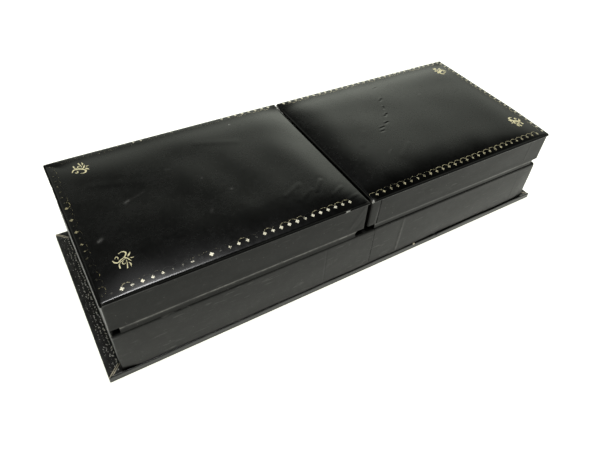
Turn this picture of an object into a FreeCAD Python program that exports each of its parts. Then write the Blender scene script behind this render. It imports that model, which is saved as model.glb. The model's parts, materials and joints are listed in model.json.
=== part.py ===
import FreeCAD, Part
import math
import os
import re
import Sketcher
from FreeCAD import Vector

# A closed drafting instrument case: one tray on a projecting base board, two padded lids side by side.
# Millimetres. The origin is the middle of the base's underside, +Z is up, the hinges are on the -Y side.

SIZES = {
    # overall, over the lips of the two lid panels
    "case_length": 271.4,
    "case_width": 100.0,
    "split_gap": 1.3,
    # how far the base stands out past the case
    "square_ends": 6.2,
    "square_hinge": 1.8,
    "square_opening": 3.2,
    # base
    "base_thickness": 2.9,
    "base_corner": 1.4,
    "base_round": 0.9,
    "turn_in": 12.0,
    # heights, from the base's top upwards
    "tray_height": 27.4,
    "groove": 3.7,
    "lid_wall_height": 17.8,
    "panel_board": 1.2,
    "panel_rise": 2.8,
    # covering materials
    "leather": 0.5,
    "cover": 0.5,
    "wall_corner": 1.2,
    "hem_round": 0.9,
    # boards
    "tray_wall": 3.0,
    "tray_floor": 1.5,
    "lid_wall": 2.0,
    # padded lid panel
    "lip": 0.4,
    "panel_corner": 2.0,
    "shoulder": 10.0,
    # neck that stands up into the lids
    "neck": 1.5,
    "neck_rise": 9.7,
    "neck_clearance": 1.0,
    # satin lining of the lids
    "lining_gap": 0.4,
    "lining_corner": 3.0,
    "lining_shoulder": 7.0,
    "lining_crown": 1.4,
    # velvet beds
    "bed_height": 29.6,
    "slot_length": 108.0,
    "slot_depth": 17.0,
    "finger_width": 24.0,
    "compass_slot": 20.0,
    "divider_slot": 14.0,
    "pen_slot": 10.0,
    "beam_slot": 24.0,
    "bow_slot": 16.0,
    "pencil_slot": 12.0,
    # hinge strips in the groove
    "strip_end": 4.8,
    "strip_split": 5.5,
    "strip_sag": 1.0,
    # room left round soft pieces
    "soft_gap": 0.3,
}

# Places worked out from the sizes, as text that the pieces' sizes are bound to
CASE_Y = "((square_hinge - square_opening) / 2)"
WALL_X = "(case_length / 2 - lip)"
WALL_Y = "(case_width / 2 - lip)"
HINGE_FACE = f"({CASE_Y} - {WALL_Y})"
SPLIT_FACE = "(split_gap / 2 + lip)"
TRAY_TOP = "(base_thickness + tray_height)"
LID_BOTTOM = f"({TRAY_TOP} + groove)"
PANEL_BOTTOM = f"({LID_BOTTOM} + lid_wall_height)"
PANEL_TOP = f"({PANEL_BOTTOM} + panel_board)"
FLOOR_TOP = "(base_thickness + tray_floor)"
NECK_TOP = f"({TRAY_TOP} + neck_rise)"
TRAY_INSIDE_X = f"({WALL_X} - cover - tray_wall)"
TRAY_INSIDE_Y = f"({WALL_Y} - cover - tray_wall)"
LID_INSIDE_X = f"({WALL_X} - cover - lid_wall)"
LID_INSIDE_Y = f"({WALL_Y} - cover - lid_wall)"
LID_INSIDE_SPLIT = f"({SPLIT_FACE} + cover + lid_wall)"
DIVIDER_HALF = f"({LID_INSIDE_SPLIT} + neck_clearance)"
NECK_LENGTH = f"({TRAY_INSIDE_X} - {DIVIDER_HALF})"
NECK_MIDDLE = f"(({TRAY_INSIDE_X} + {DIVIDER_HALF}) / 2)"
PANEL_LENGTH = "((case_length - split_gap) / 2)"
PANEL_MIDDLE = "((case_length + split_gap) / 4)"

SIDES = {"left": "-1", "right": "1"}
CROWN_STEPS = (0, 30, 60, 90)
LEVEL_TOLERANCE = 1e-6

document = FreeCAD.newDocument("instrument_case")
pieces = []


def make_sheet():
    """Put each driving size in its own named cell."""
    sheet = document.addObject("Spreadsheet::Sheet", "sizes")
    for row, (name, size) in enumerate(SIZES.items(), start=1):
        sheet.set(f"A{row}", name)
        sheet.set(f"B{row}", str(size))
        sheet.setAlias(f"B{row}", name)
    document.recompute()
    return sheet


def formula(text):
    """Turn text with plain size names into an expression on the sheet."""
    return re.sub(r"[a-z][a-z_]+", lambda word: "sizes." + word.group(), text)


def bind(thing, prop, text):
    """Tie a property to the sheet."""
    thing.setExpression(prop, formula(text))


def place(thing, x, y, z):
    """Tie a piece's place to the sheet."""
    for axis, text in zip("xyz", (x, y, z)):
        bind(thing, f"Placement.Base.{axis}", text)


def measure(text):
    """The present number behind a text."""
    return float(sheet.evalExpression(formula(text)))


def board(label, x, y, z):
    """A plain board between its (low, high) places along each axis."""
    box = document.addObject("Part::Box", label)
    for prop, (low, high) in zip(("Length", "Width", "Height"), (x, y, z)):
        bind(box, prop, f"{high} - {low}")
    place(box, x[0], y[0], z[0])
    return box


def keep(piece):
    """Add a finished piece to the case."""
    pieces.append(piece)


def across(side, inner, outer):
    """The (low, high) places along X of a piece between two distances from the split."""
    if side == "left":
        return f"(0 - {outer})", f"(0 - {inner})"
    return inner, outer


def origin_plane(body, role):
    """One of a body's own origin planes."""
    return next(item for item in body.Origin.OriginFeatures if item.Role == role)


def new_sketch(body, name, height="0", role="XY_Plane"):
    """An empty sketch on an origin plane, lifted to a height."""
    sketch = body.newObject("Sketcher::SketchObject", name)
    sketch.AttachmentSupport = [(origin_plane(body, role), "")]
    sketch.MapMode = "FlatFace"
    bind(sketch, "AttachmentOffset.Base.z", height)
    return sketch


def dimension(sketch, name, constraint, text):
    """Add a named dimension tied to the sheet."""
    index = sketch.addConstraint(constraint)
    sketch.renameConstraint(index, name)
    bind(sketch, f"Constraints.{name}", text)


def draw_rectangle(sketch, name, length, width, radius):
    """A rectangle with round corners about the sketch's origin."""
    x = measure(length) / 2
    y = measure(width) / 2
    r = measure(radius)
    first = sketch.GeometryCount
    corners = ((x, -y, -90), (x, y, 0), (-x, y, 90), (-x, -y, 180))
    starts = ((r - x, -y), (x, r - y), (x - r, y), (-x, y - r))
    ends = ((x - r, -y), (x, y - r), (r - x, y), (-x, r - y))
    for (start, end, (cx, cy, angle)) in zip(starts, ends, corners):
        sketch.addGeometry(Part.LineSegment(Vector(*start, 0), Vector(*end, 0)), False)
        centre = Vector(cx - math.copysign(r, cx), cy - math.copysign(r, cy), 0)
        circle = Part.Circle(centre, Vector(0, 0, 1), r)
        arc = Part.ArcOfCircle(circle, math.radians(angle), math.radians(angle + 90))
        sketch.addGeometry(arc, False)
    for step in range(8):
        here = first + step
        after = first + (step + 1) % 8
        sketch.addConstraint(Sketcher.Constraint("Tangent", here, 2, after, 1))
    for step in (3, 5, 7):
        sketch.addConstraint(Sketcher.Constraint("Equal", first + 1, first + step))
    for step in (0, 4):
        sketch.addConstraint(Sketcher.Constraint("Horizontal", first + step))
    for step in (2, 6):
        sketch.addConstraint(Sketcher.Constraint("Vertical", first + step))
    sketch.addConstraint(Sketcher.Constraint("Symmetric", first, 1, first + 4, 1, -1, 1))
    over_x = Sketcher.Constraint("DistanceX", first + 6, 1, first + 2, 1, 2 * x)
    over_y = Sketcher.Constraint("DistanceY", first, 1, first + 4, 1, 2 * y)
    dimension(sketch, f"{name}_length", over_x, length)
    dimension(sketch, f"{name}_width", over_y, width)
    dimension(sketch, f"{name}_radius", Sketcher.Constraint("Radius", first + 1, r), radius)


def draw_sharp_rectangle(sketch, name, length, width):
    """A rectangle with square corners about the sketch's origin."""
    x = measure(length) / 2
    y = measure(width) / 2
    first = sketch.GeometryCount
    corners = [Vector(-x, -y, 0), Vector(x, -y, 0), Vector(x, y, 0), Vector(-x, y, 0)]
    for step in range(4):
        sketch.addGeometry(Part.LineSegment(corners[step], corners[(step + 1) % 4]), False)
    for step in range(4):
        after = first + (step + 1) % 4
        sketch.addConstraint(Sketcher.Constraint("Coincident", first + step, 2, after, 1))
    for step in (0, 2):
        sketch.addConstraint(Sketcher.Constraint("Horizontal", first + step))
    for step in (1, 3):
        sketch.addConstraint(Sketcher.Constraint("Vertical", first + step))
    sketch.addConstraint(Sketcher.Constraint("Symmetric", first, 1, first + 2, 1, -1, 1))
    over_x = Sketcher.Constraint("DistanceX", first, 1, first, 2, 2 * x)
    over_y = Sketcher.Constraint("DistanceY", first + 1, 1, first + 1, 2, 2 * y)
    dimension(sketch, f"{name}_length", over_x, length)
    dimension(sketch, f"{name}_width", over_y, width)


def new_body(label, x, y, z):
    """A body standing at a place."""
    body = document.addObject("PartDesign::Body", label)
    place(body, x, y, z)
    return body


def pad(body, sketch, height):
    """Raise a sketch to a height."""
    feature = body.newObject("PartDesign::Pad", "pad")
    feature.Profile = sketch
    bind(feature, "Length", height)
    document.recompute()
    return feature


def pocket_up(body, sketch, depth):
    """Cut upwards from a sketch, and see that something was cut."""
    before = body.Shape.Volume
    feature = body.newObject("PartDesign::Pocket", "pocket")
    feature.Profile = sketch
    feature.Reversed = True
    bind(feature, "Length", depth)
    document.recompute()
    if body.Shape.Volume >= before:
        raise RuntimeError(f"{body.Label}: the pocket cuts nothing")
    return feature


def round_outline(body, height, radius):
    """Round every edge that lies level at a height in the body's own frame."""
    feature = body.Tip
    level = measure(height)
    names = []
    for number, edge in enumerate(feature.Shape.Edges, start=1):
        box = edge.BoundBox
        if max(abs(box.ZMin - level), abs(box.ZMax - level)) < LEVEL_TOLERANCE:
            names.append(f"Edge{number}")
    fillet = body.newObject("PartDesign::Fillet", "fillet")
    fillet.Base = (feature, names)
    bind(fillet, "Radius", radius)
    document.recompute()


def crown_sections(body, name, length, width, radius, shoulder, base, rise):
    """Sketches that draw in over the shoulder while they climb, along a quarter ellipse."""
    sections = []
    for angle in CROWN_STEPS:
        drawn = 1 - math.cos(math.radians(angle))
        climb = math.sin(math.radians(angle))
        inset = f"2 * {shoulder} * {drawn:.6f}"
        sketch = new_sketch(body, f"{name}_{angle}", f"{base} + {rise} * {climb:.6f}")
        draw_rectangle(sketch, name, f"{length} - {inset}", f"{width} - {inset}", radius)
        sections.append(sketch)
    document.recompute()
    return sections


def loft(body, kind, sections):
    """A smooth skin through the sections, added or taken away."""
    feature = body.newObject(f"PartDesign::{kind}Loft", "loft")
    feature.Profile = sections[0]
    feature.Sections = sections[1:]
    document.recompute()
    return feature


def make_base():
    """Core board wrapped in leather, with a lining in the window between the turned-in edges."""
    length = "(case_length + 2 * square_ends)"
    width = "(case_width + square_hinge + square_opening)"
    window_length = f"({length} - 2 * turn_in)"
    window_width = f"({width} - 2 * turn_in)"
    core_x = f"({length} / 2 - leather)"
    core_y = f"({width} / 2 - leather)"
    keep(board("base_board", (f"(0 - {core_x})", core_x), (f"(0 - {core_y})", core_y),
               ("leather", "(base_thickness - leather)")))

    wrap = new_body("base_cover", "0", "0", "0")
    outline = new_sketch(wrap, "outline")
    draw_rectangle(outline, "base", length, width, "base_corner")
    pad(wrap, outline, "base_thickness")
    round_outline(wrap, "base_thickness", "base_round")
    round_outline(wrap, "0", "base_round")
    window = new_sketch(wrap, "window")
    draw_sharp_rectangle(window, "window", window_length, window_width)
    pocket_up(wrap, window, "leather")
    hollow = new_sketch(wrap, "hollow", "leather")
    draw_sharp_rectangle(hollow, "core", f"2 * {core_x}", f"2 * {core_y}")
    pocket_up(wrap, hollow, "base_thickness - 2 * leather")
    keep(wrap)

    lining_x = f"({window_length} / 2 - soft_gap)"
    lining_y = f"({window_width} / 2 - soft_gap)"
    keep(board("base_lining", (f"(0 - {lining_x})", lining_x), (f"(0 - {lining_y})", lining_y),
               ("0", "leather")))


def make_tray():
    """Floor, four walls and the divider bar, with one leatherette wrap turned in over the wall tops."""
    outer_x = f"({WALL_X} - cover)"
    outer_y = f"({WALL_Y} - cover)"
    height = ("base_thickness", f"({TRAY_TOP} - cover)")
    hinge_side = (f"({CASE_Y} - {outer_y})", f"({CASE_Y} - {TRAY_INSIDE_Y})")
    opening_side = (f"({CASE_Y} + {TRAY_INSIDE_Y})", f"({CASE_Y} + {outer_y})")
    between = (hinge_side[1], opening_side[0])
    whole_length = (f"(0 - {outer_x})", outer_x)
    keep(board("tray_hinge_wall", whole_length, hinge_side, height))
    keep(board("tray_opening_wall", whole_length, opening_side, height))
    for side in SIDES:
        keep(board(f"tray_{side}_end", across(side, TRAY_INSIDE_X, outer_x), between, height))
        keep(board(f"tray_{side}_floor", across(side, DIVIDER_HALF, TRAY_INSIDE_X), between,
                   ("base_thickness", FLOOR_TOP)))
    keep(board("tray_divider", (f"(0 - {DIVIDER_HALF})", DIVIDER_HALF), between,
               ("base_thickness", TRAY_TOP)))

    wrap = new_body("tray_cover", "0", CASE_Y, "base_thickness")
    outline = new_sketch(wrap, "outline")
    draw_rectangle(outline, "outer", f"2 * {WALL_X}", f"2 * {WALL_Y}", "wall_corner")
    pad(wrap, outline, "tray_height")
    round_outline(wrap, "tray_height", "hem_round")
    inside = new_sketch(wrap, "inside")
    draw_sharp_rectangle(inside, "inside", f"2 * {TRAY_INSIDE_X}", f"2 * {TRAY_INSIDE_Y}")
    pocket_up(wrap, inside, "tray_height")
    boards = new_sketch(wrap, "boards")
    draw_sharp_rectangle(boards, "boards", f"2 * {outer_x}", f"2 * {outer_y}")
    pocket_up(wrap, boards, "tray_height - cover")
    keep(wrap)


def make_neck(side):
    """A folded liner inside one compartment that stands up past the tray wall."""
    middle = f"({SIDES[side]} * {NECK_MIDDLE})"
    width = f"(2 * {TRAY_INSIDE_Y})"
    liner = new_body(f"{side}_neck", middle, CASE_Y, FLOOR_TOP)
    outline = new_sketch(liner, "outline")
    draw_sharp_rectangle(outline, "outer", NECK_LENGTH, width)
    draw_sharp_rectangle(outline, "inner", f"{NECK_LENGTH} - 2 * neck", f"{width} - 2 * neck")
    pad(liner, outline, f"{NECK_TOP} - {FLOOR_TOP}")
    keep(liner)


def round_ended_slot(name, middle_x, low_y, width, low_z, depth):
    """The solid that a round-ended slot along X takes away."""
    half_run = f"((slot_length - {width}) / 2)"
    run = board(f"{name}_run", (f"({middle_x} - {half_run})", f"({middle_x} + {half_run})"),
                (low_y, f"({low_y} + {width})"), (low_z, f"({low_z} + {depth})"))
    shapes = [run]
    for end, sign in (("near", "-"), ("far", "+")):
        cap = document.addObject("Part::Cylinder", f"{name}_{end}_end")
        bind(cap, "Radius", f"{width} / 2")
        bind(cap, "Height", depth)
        place(cap, f"{middle_x} {sign} {half_run}", f"{low_y} + {width} / 2", low_z)
        shapes.append(cap)
    return shapes


def make_bed(side, slots):
    """A velvet bed with a row of instrument slots and a finger channel across them."""
    middle_x = f"({SIDES[side]} * {NECK_MIDDLE})"
    half_x = f"({NECK_LENGTH} / 2 - neck - soft_gap)"
    half_y = f"({TRAY_INSIDE_Y} - neck - soft_gap)"
    top = f"({FLOOR_TOP} + bed_height)"
    low_z = f"({top} - slot_depth)"
    depth = "(2 * slot_depth)"
    rib = f"((2 * {half_y} - ({' + '.join(slots)})) / {len(slots) + 1})"
    block = board(f"{side}_bed_block", (f"({middle_x} - {half_x})", f"({middle_x} + {half_x})"),
                  (f"({CASE_Y} - {half_y})", f"({CASE_Y} + {half_y})"), (FLOOR_TOP, top))
    low_y = f"{CASE_Y} - {half_y} + {rib}"
    cuts = []
    middles = []
    for number, width in enumerate(slots, start=1):
        cuts += round_ended_slot(f"{side}_slot_{number}", middle_x, f"({low_y})", width, low_z, depth)
        middles.append(f"({low_y} + {width} / 2)")
        low_y = f"{low_y} + {width} + {rib}"
    finger_x = (f"({middle_x} - finger_width / 2)", f"({middle_x} + finger_width / 2)")
    cuts.append(board(f"{side}_finger_channel", finger_x, (middles[0], middles[-1]),
                      (low_z, f"({low_z} + {depth})")))
    hollow = document.addObject("Part::MultiFuse", f"{side}_bed_hollow")
    hollow.Shapes = cuts
    bed = document.addObject("Part::Cut", f"{side}_bed")
    bed.Base = block
    bed.Tool = hollow
    keep(bed)


def make_lid_walls(side):
    """Four wall boards butted at the corners, and the leatherette that wraps them and their lower edges."""
    outer_x = f"({WALL_X} - cover)"
    outer_y = f"({WALL_Y} - cover)"
    split_x = f"({SPLIT_FACE} + cover)"
    height = (f"({LID_BOTTOM} + cover)", PANEL_BOTTOM)
    hinge_side = (f"({CASE_Y} - {outer_y})", f"({CASE_Y} - {LID_INSIDE_Y})")
    opening_side = (f"({CASE_Y} + {LID_INSIDE_Y})", f"({CASE_Y} + {outer_y})")
    between = (hinge_side[1], opening_side[0])
    whole_length = across(side, split_x, outer_x)
    keep(board(f"{side}_lid_hinge_wall", whole_length, hinge_side, height))
    keep(board(f"{side}_lid_opening_wall", whole_length, opening_side, height))
    keep(board(f"{side}_lid_outer_end", across(side, LID_INSIDE_X, outer_x), between, height))
    keep(board(f"{side}_lid_split_end", across(side, split_x, LID_INSIDE_SPLIT), between, height))

    middle = f"({SIDES[side]} * ({WALL_X} + {SPLIT_FACE}) / 2)"
    length = f"({WALL_X} - {SPLIT_FACE})"
    width = f"(2 * {WALL_Y})"
    wrap = new_body(f"{side}_lid_cover", middle, CASE_Y, LID_BOTTOM)
    outline = new_sketch(wrap, "outline")
    draw_rectangle(outline, "outer", length, width, "wall_corner")
    pad(wrap, outline, "lid_wall_height")
    round_outline(wrap, "0", "hem_round")
    inside = new_sketch(wrap, "inside")
    walls = "2 * (cover + lid_wall)"
    draw_sharp_rectangle(inside, "inside", f"{length} - {walls}", f"{width} - {walls}")
    pocket_up(wrap, inside, "lid_wall_height")
    boards = new_sketch(wrap, "boards", "cover")
    draw_sharp_rectangle(boards, "boards", f"{length} - 2 * cover", f"{width} - 2 * cover")
    pocket_up(wrap, boards, "lid_wall_height")
    keep(wrap)


def make_lid_panel(side):
    """Panel board with its padding, and the leather drawn over both."""
    middle = f"({SIDES[side]} * {PANEL_MIDDLE})"
    inner_length = f"({PANEL_LENGTH} - 2 * leather)"
    inner_width = "(case_width - 2 * leather)"
    inner_corner = "(panel_corner - leather)"

    stiffener = new_body(f"{side}_lid_board", middle, CASE_Y, PANEL_BOTTOM)
    outline = new_sketch(stiffener, "outline")
    draw_rectangle(outline, "board", inner_length, inner_width, inner_corner)
    pad(stiffener, outline, "panel_board")
    keep(stiffener)

    padding = new_body(f"{side}_lid_padding", middle, CASE_Y, PANEL_TOP)
    fill_length = f"({inner_length} - 2 * soft_gap)"
    fill_width = f"({inner_width} - 2 * soft_gap)"
    sections = crown_sections(padding, "padding", fill_length, fill_width, inner_corner, "shoulder",
                              "0", "(panel_rise - leather - soft_gap)")
    loft(padding, "Additive", sections)
    keep(padding)

    skin = new_body(f"{side}_lid_leather", middle, CASE_Y, PANEL_BOTTOM)
    edge = new_sketch(skin, "edge")
    draw_rectangle(edge, "edge", PANEL_LENGTH, "case_width", "panel_corner")
    pad(skin, edge, "panel_board")
    outer = crown_sections(skin, "outer", PANEL_LENGTH, "case_width", "panel_corner", "shoulder",
                           "panel_board", "panel_rise")
    loft(skin, "Additive", outer)
    seat = new_sketch(skin, "seat")
    draw_rectangle(seat, "seat", inner_length, inner_width, inner_corner)
    pocket_up(skin, seat, "panel_board")
    inner = crown_sections(skin, "inner", inner_length, inner_width, inner_corner, "shoulder",
                           "panel_board", "(panel_rise - leather)")
    loft(skin, "Subtractive", inner)
    keep(skin)


def make_lid_lining(side):
    """A satin cushion under the panel board that bears on the neck when the lid is closed."""
    middle = f"({SIDES[side]} * ({LID_INSIDE_X} + {LID_INSIDE_SPLIT}) / 2)"
    length = f"({LID_INSIDE_X} - {LID_INSIDE_SPLIT} - 2 * lining_gap)"
    width = f"(2 * {LID_INSIDE_Y} - 2 * lining_gap)"
    low = f"({NECK_TOP} + soft_gap)"
    depth = f"({PANEL_BOTTOM} - {low})"
    cushion = new_body(f"{side}_lid_lining", middle, CASE_Y, PANEL_BOTTOM)
    back = new_sketch(cushion, "back", f"0 - {depth} + lining_crown")
    draw_rectangle(back, "back", length, width, "lining_corner")
    pad(cushion, back, f"{depth} - lining_crown")
    sections = crown_sections(cushion, "crown", length, width, "lining_corner", "lining_shoulder",
                              f"0 - {depth} + lining_crown", "(0 - lining_crown)")
    loft(cushion, "Additive", sections)
    keep(cushion)


def make_hinge_strip(side):
    """A hollow-sided web of leatherette that joins the tray cover to the lid cover along the groove."""
    low_x, high_x = across(side, "strip_split", "(case_length / 2 - strip_end)")
    strip = new_body(f"{side}_hinge_strip", low_x, f"{HINGE_FACE} + hem_round", TRAY_TOP)
    section = new_sketch(strip, "section", role="YZ_Plane")
    tall = measure("groove")
    thick = measure("cover")
    sag = measure("strip_sag")
    radius_text = "(groove ^ 2 / 4 + strip_sag ^ 2) / (2 * strip_sag)"
    radius = measure(radius_text)
    half_turn = math.asin(tall / 2 / radius)
    for shift in (0, thick):
        circle = Part.Circle(Vector(shift + sag - radius, tall / 2, 0), Vector(0, 0, 1), radius)
        section.addGeometry(Part.ArcOfCircle(circle, -half_turn, half_turn), False)
    section.addGeometry(Part.LineSegment(Vector(0, 0, 0), Vector(thick, 0, 0)), False)
    section.addGeometry(Part.LineSegment(Vector(0, tall, 0), Vector(thick, tall, 0)), False)
    for line, end in ((2, 1), (3, 2)):
        section.addConstraint(Sketcher.Constraint("Coincident", line, 1, 0, end))
        section.addConstraint(Sketcher.Constraint("Coincident", line, 2, 1, end))
        section.addConstraint(Sketcher.Constraint("Horizontal", line))
    section.addConstraint(Sketcher.Constraint("Coincident", 2, 1, -1, 1))
    section.addConstraint(Sketcher.Constraint("Vertical", 2, 1, 3, 1))
    section.addConstraint(Sketcher.Constraint("Equal", 0, 1))
    dimension(section, "thick", Sketcher.Constraint("DistanceX", 2, 1, 2, 2, thick), "cover")
    dimension(section, "tall", Sketcher.Constraint("DistanceY", 2, 1, 3, 1, tall), "groove")
    dimension(section, "sweep", Sketcher.Constraint("Radius", 0, radius), radius_text)
    pad(strip, section, f"{high_x} - {low_x}")
    keep(strip)


def check_pieces():
    """Stop if any object failed or any piece has no sound solid."""
    for item in document.Objects:
        if "Invalid" in item.State or "Error" in item.State:
            raise RuntimeError(f"{item.Label}: {item.State}")
    for piece in pieces:
        if piece.Shape.isNull() or not piece.Shape.isValid() or not piece.Shape.Solids:
            raise RuntimeError(f"{piece.Label}: no valid solid")


def write_pieces():
    """Write each piece to its own file."""
    os.makedirs("parts", exist_ok=True)
    for piece in pieces:
        piece.Shape.exportStep(f"parts/{piece.Label}.step")


sheet = make_sheet()
make_base()
make_tray()
make_bed("left", ("compass_slot", "divider_slot", "pen_slot", "pen_slot"))
make_bed("right", ("beam_slot", "bow_slot", "pencil_slot"))
for lid in SIDES:
    make_neck(lid)
    make_lid_walls(lid)
    make_lid_panel(lid)
    make_lid_lining(lid)
    make_hinge_strip(lid)
document.recompute()
check_pieces()
write_pieces()
print(len(pieces), "pieces")
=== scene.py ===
"""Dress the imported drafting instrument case.

Leather tops with gold tooling, leatherette walls, flexing hinge webs, velvet beds and satin linings
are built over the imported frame. Lengths inside the functions are in millimetres, in the case's own frame.
"""

import json
import math

import bpy
import numpy as np
from mathutils import Matrix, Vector
from mathutils.bvhtree import BVHTree


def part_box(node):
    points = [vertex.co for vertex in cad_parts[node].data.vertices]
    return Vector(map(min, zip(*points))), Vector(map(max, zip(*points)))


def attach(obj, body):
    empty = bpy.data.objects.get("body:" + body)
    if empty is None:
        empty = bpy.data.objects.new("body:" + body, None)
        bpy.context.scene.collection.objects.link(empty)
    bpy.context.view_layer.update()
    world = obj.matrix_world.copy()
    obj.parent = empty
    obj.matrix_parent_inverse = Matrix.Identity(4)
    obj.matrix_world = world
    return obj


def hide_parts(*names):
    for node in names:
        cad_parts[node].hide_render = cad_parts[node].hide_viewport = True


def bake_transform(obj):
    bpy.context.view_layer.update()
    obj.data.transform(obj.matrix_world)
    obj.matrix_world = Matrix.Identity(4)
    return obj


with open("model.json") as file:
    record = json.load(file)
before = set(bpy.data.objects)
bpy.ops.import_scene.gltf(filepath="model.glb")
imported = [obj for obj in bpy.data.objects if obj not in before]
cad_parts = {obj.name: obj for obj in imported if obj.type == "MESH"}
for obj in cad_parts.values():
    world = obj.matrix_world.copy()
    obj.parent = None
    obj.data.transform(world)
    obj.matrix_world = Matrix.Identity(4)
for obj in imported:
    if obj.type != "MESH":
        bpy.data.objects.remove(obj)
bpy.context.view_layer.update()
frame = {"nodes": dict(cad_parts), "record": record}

bl_info = {
    "name": "Drafting Instrument Case",
    "version": (1, 0, 0),
    "blender": (4, 5, 0),
    "location": "3D View > Sidebar > Case",
    "description": "Dresses the frame of a two-lid drafting instrument case",
    "category": "Object",
}

MM = 0.001
SIDES = ("left", "right")
# Sign of x on each half of the case.
SIGN = {"left": -1.0, "right": 1.0}

# Places along the hinge side: seams and creases of the coverings, and the dent in the base's edge.
LID_SEAM = 6.9
TRAY_SEAM = 6.8
END_CREASE = 121.0
TRAY_RIDGE = 25.0
TRAY_PRINT = -22.0
TRAY_CREASE = -25.0
BASE_DENT = 57.6
# How far the seams lean between the upper and the lower edge.
LID_SEAM_LEAN = 0.35
TRAY_SEAM_LEAN = 0.9
# From the outside of the coverings to the inside of the boards, and how high the lids' covering turns in.
LID_INSIDE = 2.5
TRAY_INSIDE = 3.47
LID_TURN_IN = 12.5
# Room between a covering and the board behind it.
SKIN_ROOM = 0.02
# Base leather: lower edge radius, upper edge radius, turn-in underneath, and place of the board inside it.
BASE_LOWER_ROUND = 0.35
BASE_UPPER_ROUND = 0.5
BASE_TURN_IN = 12.0
BASE_BOARD_INSET = 0.47
# Leather tops: grid step, stretch of a rounded corner, and share of its radius by the split.
TOP_STEP = 0.8
CORNER_ZONE = 6.0
SPLIT_CORNER = 0.35
# How far each top's rim lies below the top of its solid, and how far its lip hangs below the solid.
RIM_DROP = {"left": 2.98, "right": 3.22}
LIP_HANG = {"left": 0.62, "right": 0.95}
# Padding that stands higher along the opening side and the outer end, and its reach from the edge.
OPENING_LIFT = 1.1
END_LIFT = 0.9
LIFT_REACH = 5.0
# Left of this place the painted shade on the lip starts one row lower, so more of the lip stays lit.
NARROW_LIP_SHADE = -112.0
# Nicks: half widths of the groove and of the rim behind it, the rim's distance and share of the depth.
NICK_GROOVE = 0.55
NICK_RIM = 0.7
NICK_RIM_BACK = 0.9
NICK_RIM_SHARE = 0.4
# Width of the margin on the hinge side that the roll pressed smooth.
PRESSED_MARGIN = 15.0
# Raw edges at the base's mitres: half the gap between two strips, half width of a strip.
MITRE_GAP = 0.30
MITRE_STRIP = 0.23
# Chip in the base's hinge edge: x and distance from the edge at both ends, half width and height.
BASE_CHIP = ((39.2, 0.40), (40.5, 0.45), 0.30, 0.98)
# Share of the sag that each hinge web takes.
WEB_SAG = {"left": 1.0, "right": 0.84}
# Fold of a web from the tray up to the lid: height above the strip's foot, and share of its sag.
WEB_FOLD = (
    (-0.90, 0.62), (-0.72, 0.60), (-0.35, 0.68), (0.10, 0.80), (0.55, 0.92), (1.05, 0.98), (1.55, 1.0),
    (1.95, 0.94), (2.30, 0.82), (2.65, 0.65), (2.95, 0.47), (3.25, 0.28), (3.50, 0.14), (3.69, 0.06),
)
# Satin: height of the hem above the lowest point, and width of the padded shoulder.
SATIN_HEM = 2.2
SATIN_SHOULDER = 9.0
# Seeds of the slow waves, of the gold's wear and of the satin's tucks.
WAVE_SEEDS = {
    "left_top": 11, "right_top": 23, "left_top_rub": 31, "right_top_rub": 37, "top_edge": 41,
    "left_lid_wall": 51, "right_lid_wall": 57, "lid_hem": 61, "lid_rub": 67,
    "tray_wall": 71, "tray_flare": 73, "tray_hem": 79, "tray_rub_and_highlight": 83,
    "base_edge": 91, "base_rim": 93, "base_mottle": 95, "base_rub": 97,
    "left_web": 101, "right_web": 103, "web_highlight": 107,
    "left_bed": 113, "right_bed": 127, "left_lining": 137, "right_lining": 139,
}
GOLD_SEEDS = {"left": 5, "right": 9, "base": 13}
TUCK_SEED = 131
# Coverings: how the grain is drawn out along each axis, shine, and grey of the dust.
COVERINGS = {
    "lid_leatherette": ((0.15, 0.15, 1.0), 0.165, 0.020),
    "tray_leatherette": ((0.15, 0.15, 1.0), 0.255, 0.030),
    "base_leather": ((0.2, 0.2, 1.0), 0.52, 0.012),
}
# Papers and boards: roughness, fibre size, how the fibres are drawn out along each axis, and relief.
FIBRES = {
    "black_paper": (0.62, 0.7, (0.4, 1.0, 1.0), 0.05),
    "grey_board": (0.85, 0.9, (0.5, 1.0, 1.0), 0.08),
    "stained_bar": (0.50, 0.8, (1.0, 0.08, 1.0), 0.06),
    "lining_paper": (0.66, 1.1, (0.6, 0.6, 1.0), 0.05),
}

# Scuffs on the leather: start x, start y, end x, end y, half width, strength.
LEATHER_SCUFFS = {
    "left": (
        (-108.2, 0.8, -106.6, 1.6, 0.7, 0.14),
        (-106.0, 1.8, -98.0, 4.4, 0.5, 0.035),
        (-126.0, -18.0, -124.8, -17.4, 0.7, 0.20),
        (-69.3, 1.2, -68.8, 1.4, 0.4, 0.14),
        (-59.6, -12.8, -59.1, -12.5, 0.4, 0.16),
        (-36.2, 39.1, -35.9, 39.3, 0.45, 0.70),
        (-83.0, 15.8, -81.0, 15.4, 0.5, 0.05),
        (-75.0, -23.4, -74.0, -22.0, 0.6, 0.05),
        (-16.0, -50.56, -13.2, -50.56, 0.12, 1.0),
    ),
    "right": (
        (88.2, 17.1, 88.8, 17.5, 0.5, 0.12),
        (31.0, -24.0, 35.0, -21.6, 0.5, 0.05),
        (0.9, -50.5, 1.5, -50.4, 0.45, 1.0),
    ),
}
# Small pressed-in nicks: x, y, half length, turn in degrees, depth.
LEATHER_NICKS = {
    "left": (),
    "right": (
        (67.0, 36.3, 1.0, 20.0, 0.10),
        (61.0, 22.3, 1.2, 40.0, 0.18),
        (57.0, 14.3, 0.9, 65.0, 0.16),
        (53.5, 7.3, 1.3, 35.0, 0.22),
        (48.5, 0.3, 1.2, 15.0, 0.17),
        (43.0, -2.7, 1.3, 10.0, 0.14),
        (41.0, -5.7, 1.1, 5.0, 0.12),
    ),
}
# Small chips out of the tops' outer edge: y, half width, depth.
EDGE_CHIPS = {
    "left": ((30.8, 1.3, 0.45), (25.4, 1.0, 0.50), (21.1, 1.1, 0.35), (9.8, 0.9, 0.25)),
    "right": (),
}
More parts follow.
